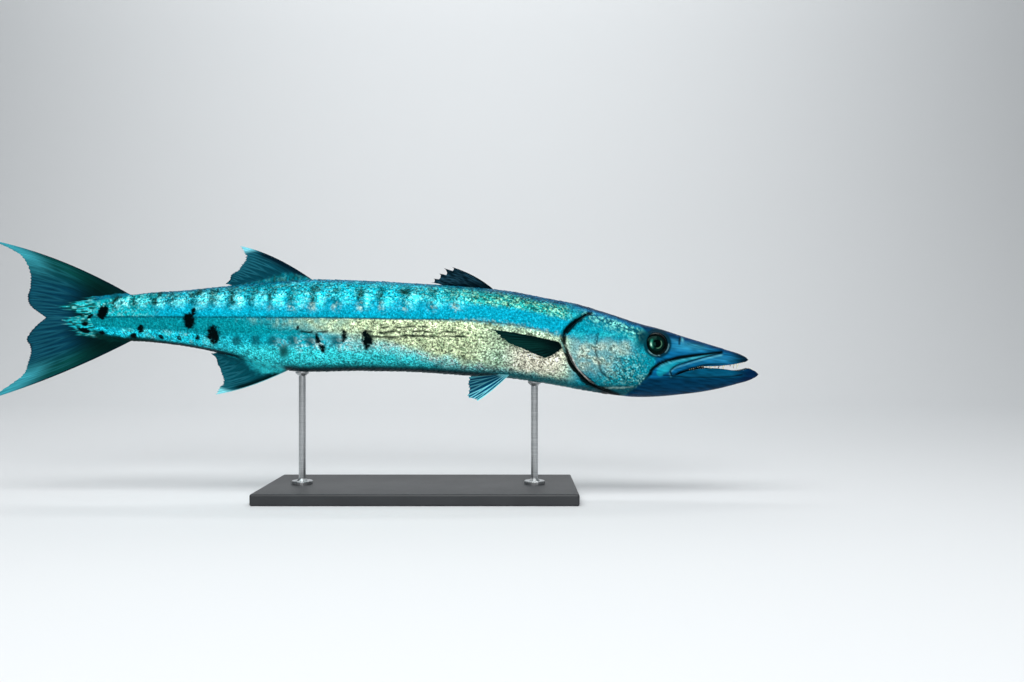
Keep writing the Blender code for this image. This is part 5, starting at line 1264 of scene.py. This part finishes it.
upper_turns, lower_turns = np.linspace(0.004, 0.5, 9), np.linspace(0.996, 0.5, 9)
lobes = {
    "upper": (upper_turns, [(-0.548, 0.1451), (-0.516, 0.1308), (-0.499, 0.1177), (-0.4905, 0.0964), (-0.490, 0.0799),
                            (-0.4935, 0.0652), (-0.491, 0.0521), (-0.480, 0.0422), (-0.467, 0.0335)], 0.0095),
    "lower": (lower_turns, [(-0.552, -0.0844), (-0.515, -0.0600), (-0.499, -0.0465), (-0.495, -0.0350),
                            (-0.4905, -0.0219), (-0.490, -0.0080), (-0.495, 0.0040), (-0.481, 0.0225),
                            (-0.467, 0.0335)], -0.0055)}
for label, (turns, tips, bow) in lobes.items():
    roots = section_point(tail_end(turns), turns)
    weight = (1 - np.arange(9) / 8) ** 1.5
    piece = fin(f"tail_web_{label}", roots * (1, 0, 1), in_plane(tips), bends(np.stack([0 * weight, bow * weight], -1)),
                tail_web, 16, 80, base=0.92 * np.abs(roots[:, 1]), fade=0.45, sink=0.004, notch=0.015,
                ragged=0.015)
    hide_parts(f"caudal_{label}_lobe")


# Pectoral fins: short and pointed, folded back along the flank behind the gill cover.
def pectoral_web(u, s, near_ray, points):
    """Black green, a little paler in the middle, with a thin pale hem behind."""
    colours = np.zeros(points.shape) + linear("#010F0B")
    colours = tint(colours, "#042620", ease(0.1, 0.4, u) * (1 - ease(0.5, 0.8, u)) * ease(0.15, 0.5, s) * 0.8)
    colours = tint(colours, "#010606", (1 - ease(0.05, 0.35, s)) * 0.85 + ease(0.12, 0.02, u) * 0.4)
    colours = tint(colours, "#1C5C58", near_ray * ease(0.4, 0.8, s) * 0.25)
    return tint(colours, "#7FC7BF", ease(0.95, 0.99, s) * ease(0.60, 0.8, u) * 0.4), 0 * s


def pelvic_web(u, s, near_ray, points):
    """Pale cyan rays in front with dark gaps, and a dusky web behind with thin pale rays."""
    front = ease(0.62, 0.35, u)
    colours = np.zeros(points.shape) + linear("#042E46")
    colours = tint(colours, "#4FA0AC", near_ray * 0.6 * (1 - front))
    colours = tint(colours, "#034A70", front * 0.7)
    colours = tint(colours, "#7FE0EA", near_ray * front * 0.95)
    colours = tint(colours, "#8FEAF0", ease(0.10, 0.02, u) * 0.8)
    return tint(colours, "#7CCFD6", (1 - ease(0.0, 0.16, s)) * 0.6 + ease(0.93, 1.0, s) * front * 0.5), 0 * s


pectoral_roots = [(0.2640, -0.0015), (0.2648, -0.0032), (0.2656, -0.0049), (0.2664, -0.0066), (0.2672, -0.0083),
                  (0.2680, -0.0100)]
pectoral_tips = [(0.1712, 0.0160), (0.1810, 0.0058), (0.1923, -0.0030), (0.2100, -0.0095), (0.2270, -0.0172),
                 (0.2430, -0.0232)]
tip_lifts = (0.0150, 0.0140, 0.0125, 0.0105, 0.0085, 0.0065)
pelvic_tips = np.array([(0.1520, -0.0330, -0.0838), (0.1465, -0.0335, -0.0815), (0.1373, -0.0335, -0.0788),
                        (0.1385, -0.0325, -0.0675), (0.1373, -0.0305, -0.0585), (0.1395, -0.0320, -0.0505)])
for label, side in (("right", -1), ("left", 1)):
    flip = np.array([1, -side, 1])
    roots = np.array([flank_point(x, h, 0.0008) for x, h in pectoral_roots])
    tips = np.array([flank_point(x, h, lift) for (x, h), lift in zip(pectoral_tips, tip_lifts)])
    bows = np.array([(0, -0.0025, 0.0015 - 0.0008 * i) for i in range(6)])
    piece = fin(f"pectoral_web_{label}", roots * flip, tips * flip, bows * flip, pectoral_web, 22, 50, flat=False,
                rays_per_gap=2, forks=((0.45, 0.95),), sink=0.001, notch=0.04, ragged=0.045)
    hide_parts(f"pectoral_fin_{label}")
    roots = section_point(np.linspace(0.1950, 0.1825, 6), 0.86, 0.0006)
    tips = pelvic_tips + (0, 0, LEVEL)
    bows = np.array([(0, -0.0010, -0.0020 + 0.0004 * i) for i in range(6)])
    piece = fin(f"pelvic_web_{label}", roots * flip, tips * flip, bows * flip, pelvic_web, 22, 50, flat=False,
                forks=((0.35, 0.9),), sink=0.0012, ray=(0.0020, 0.0008))
    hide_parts(f"pelvic_fin_{label}")


# Floor, light and camera: a pale paper sweep, a broad lamp overhead, weak fills, and the lens at the
# photo's viewing angle.
bend = np.linspace(0, np.pi / 2, 40)
SWEEP_START, SWEEP_RADIUS = 1.8, 1.8
profile = np.concatenate([[(-6.0, 0.0)], np.stack([SWEEP_START + SWEEP_RADIUS * np.sin(bend),
                                                   SWEEP_RADIUS * (1 - np.cos(bend))], -1), [(3.6, 7.0)]])
x = np.linspace(-8, 8, 2)
sheet = np.stack([x[None, :] + 0 * profile[:, :1], profile[:, :1] + 0 * x, profile[:, 1:] + 0 * x], -1)
mesh = bpy.data.meshes.new("paper_sweep")
corner = np.arange(len(profile) * 2).reshape(-1, 2)
faces = np.stack([corner[:-1, 0], corner[:-1, 1], corner[1:, 1], corner[1:, 0]], -1)
mesh.from_pydata(sheet.reshape(-1, 3), [], faces.tolist())
mesh.shade_smooth()
sweep = bpy.data.objects.new("paper_sweep", mesh)
bpy.context.scene.collection.objects.link(sweep)
paper, tree = blank_material("matt_background_paper")
matt = add(tree, "ShaderNodeBsdfPrincipled", {"Base Color": paint("#DADDDF"), "Roughness": 0.9})
add(tree, "ShaderNodeOutputMaterial", {"Surface": matt.outputs["BSDF"]})
mesh.materials.append(paper)


def lamp(name, place, towards, size, power):
    """Soft rectangular lamp at a place, facing a point."""
    light = bpy.data.lights.new(name, "AREA")
    light.shape, light.size, light.size_y, light.energy = "RECTANGLE", size[0], size[1], power
    holder = bpy.data.objects.new(name, light)
    holder.location = place
    holder.rotation_euler = (Vector(towards) - Vector(place)).to_track_quat("-Z", "Y").to_euler()
    bpy.context.scene.collection.objects.link(holder)


lamp("overhead", (0.0, -0.8, 1.9), (0.0, 0.0, 0.22), (2.4, 0.9), 32)
lamp("front_fill", (0.3, -2.4, 1.4), (0.05, 0.0, 0.22), (2.0, 0.8), 40)
lamp("back_fill", (-0.4, 1.8, 2.0), (0.0, 0.0, 0.22), (2.4, 1.0), 6)
lamp("paper_wash", (0.0, 1.6, 3.2), (0.0, 3.6, 1.2), (4.0, 1.0), 70)
world = bpy.data.worlds.new("studio")
bpy.context.scene.world = world
world.use_nodes = True
world.node_tree.nodes["Background"].inputs["Color"].default_value = paint("#DDE3E8")
world.node_tree.nodes["Background"].inputs["Strength"].default_value = 0.20
lens = bpy.data.cameras.new("camera")
lens.lens, lens.sensor_width = 35.0, 36.0
camera = bpy.data.objects.new("camera", lens)
camera.location = (0.19984, -1.4236, LEVEL)
camera.rotation_euler = (np.pi / 2, 0, 0)
bpy.context.scene.collection.objects.link(camera)
bpy.context.scene.camera = camera
bpy.context.scene.view_settings.view_transform = "Standard"
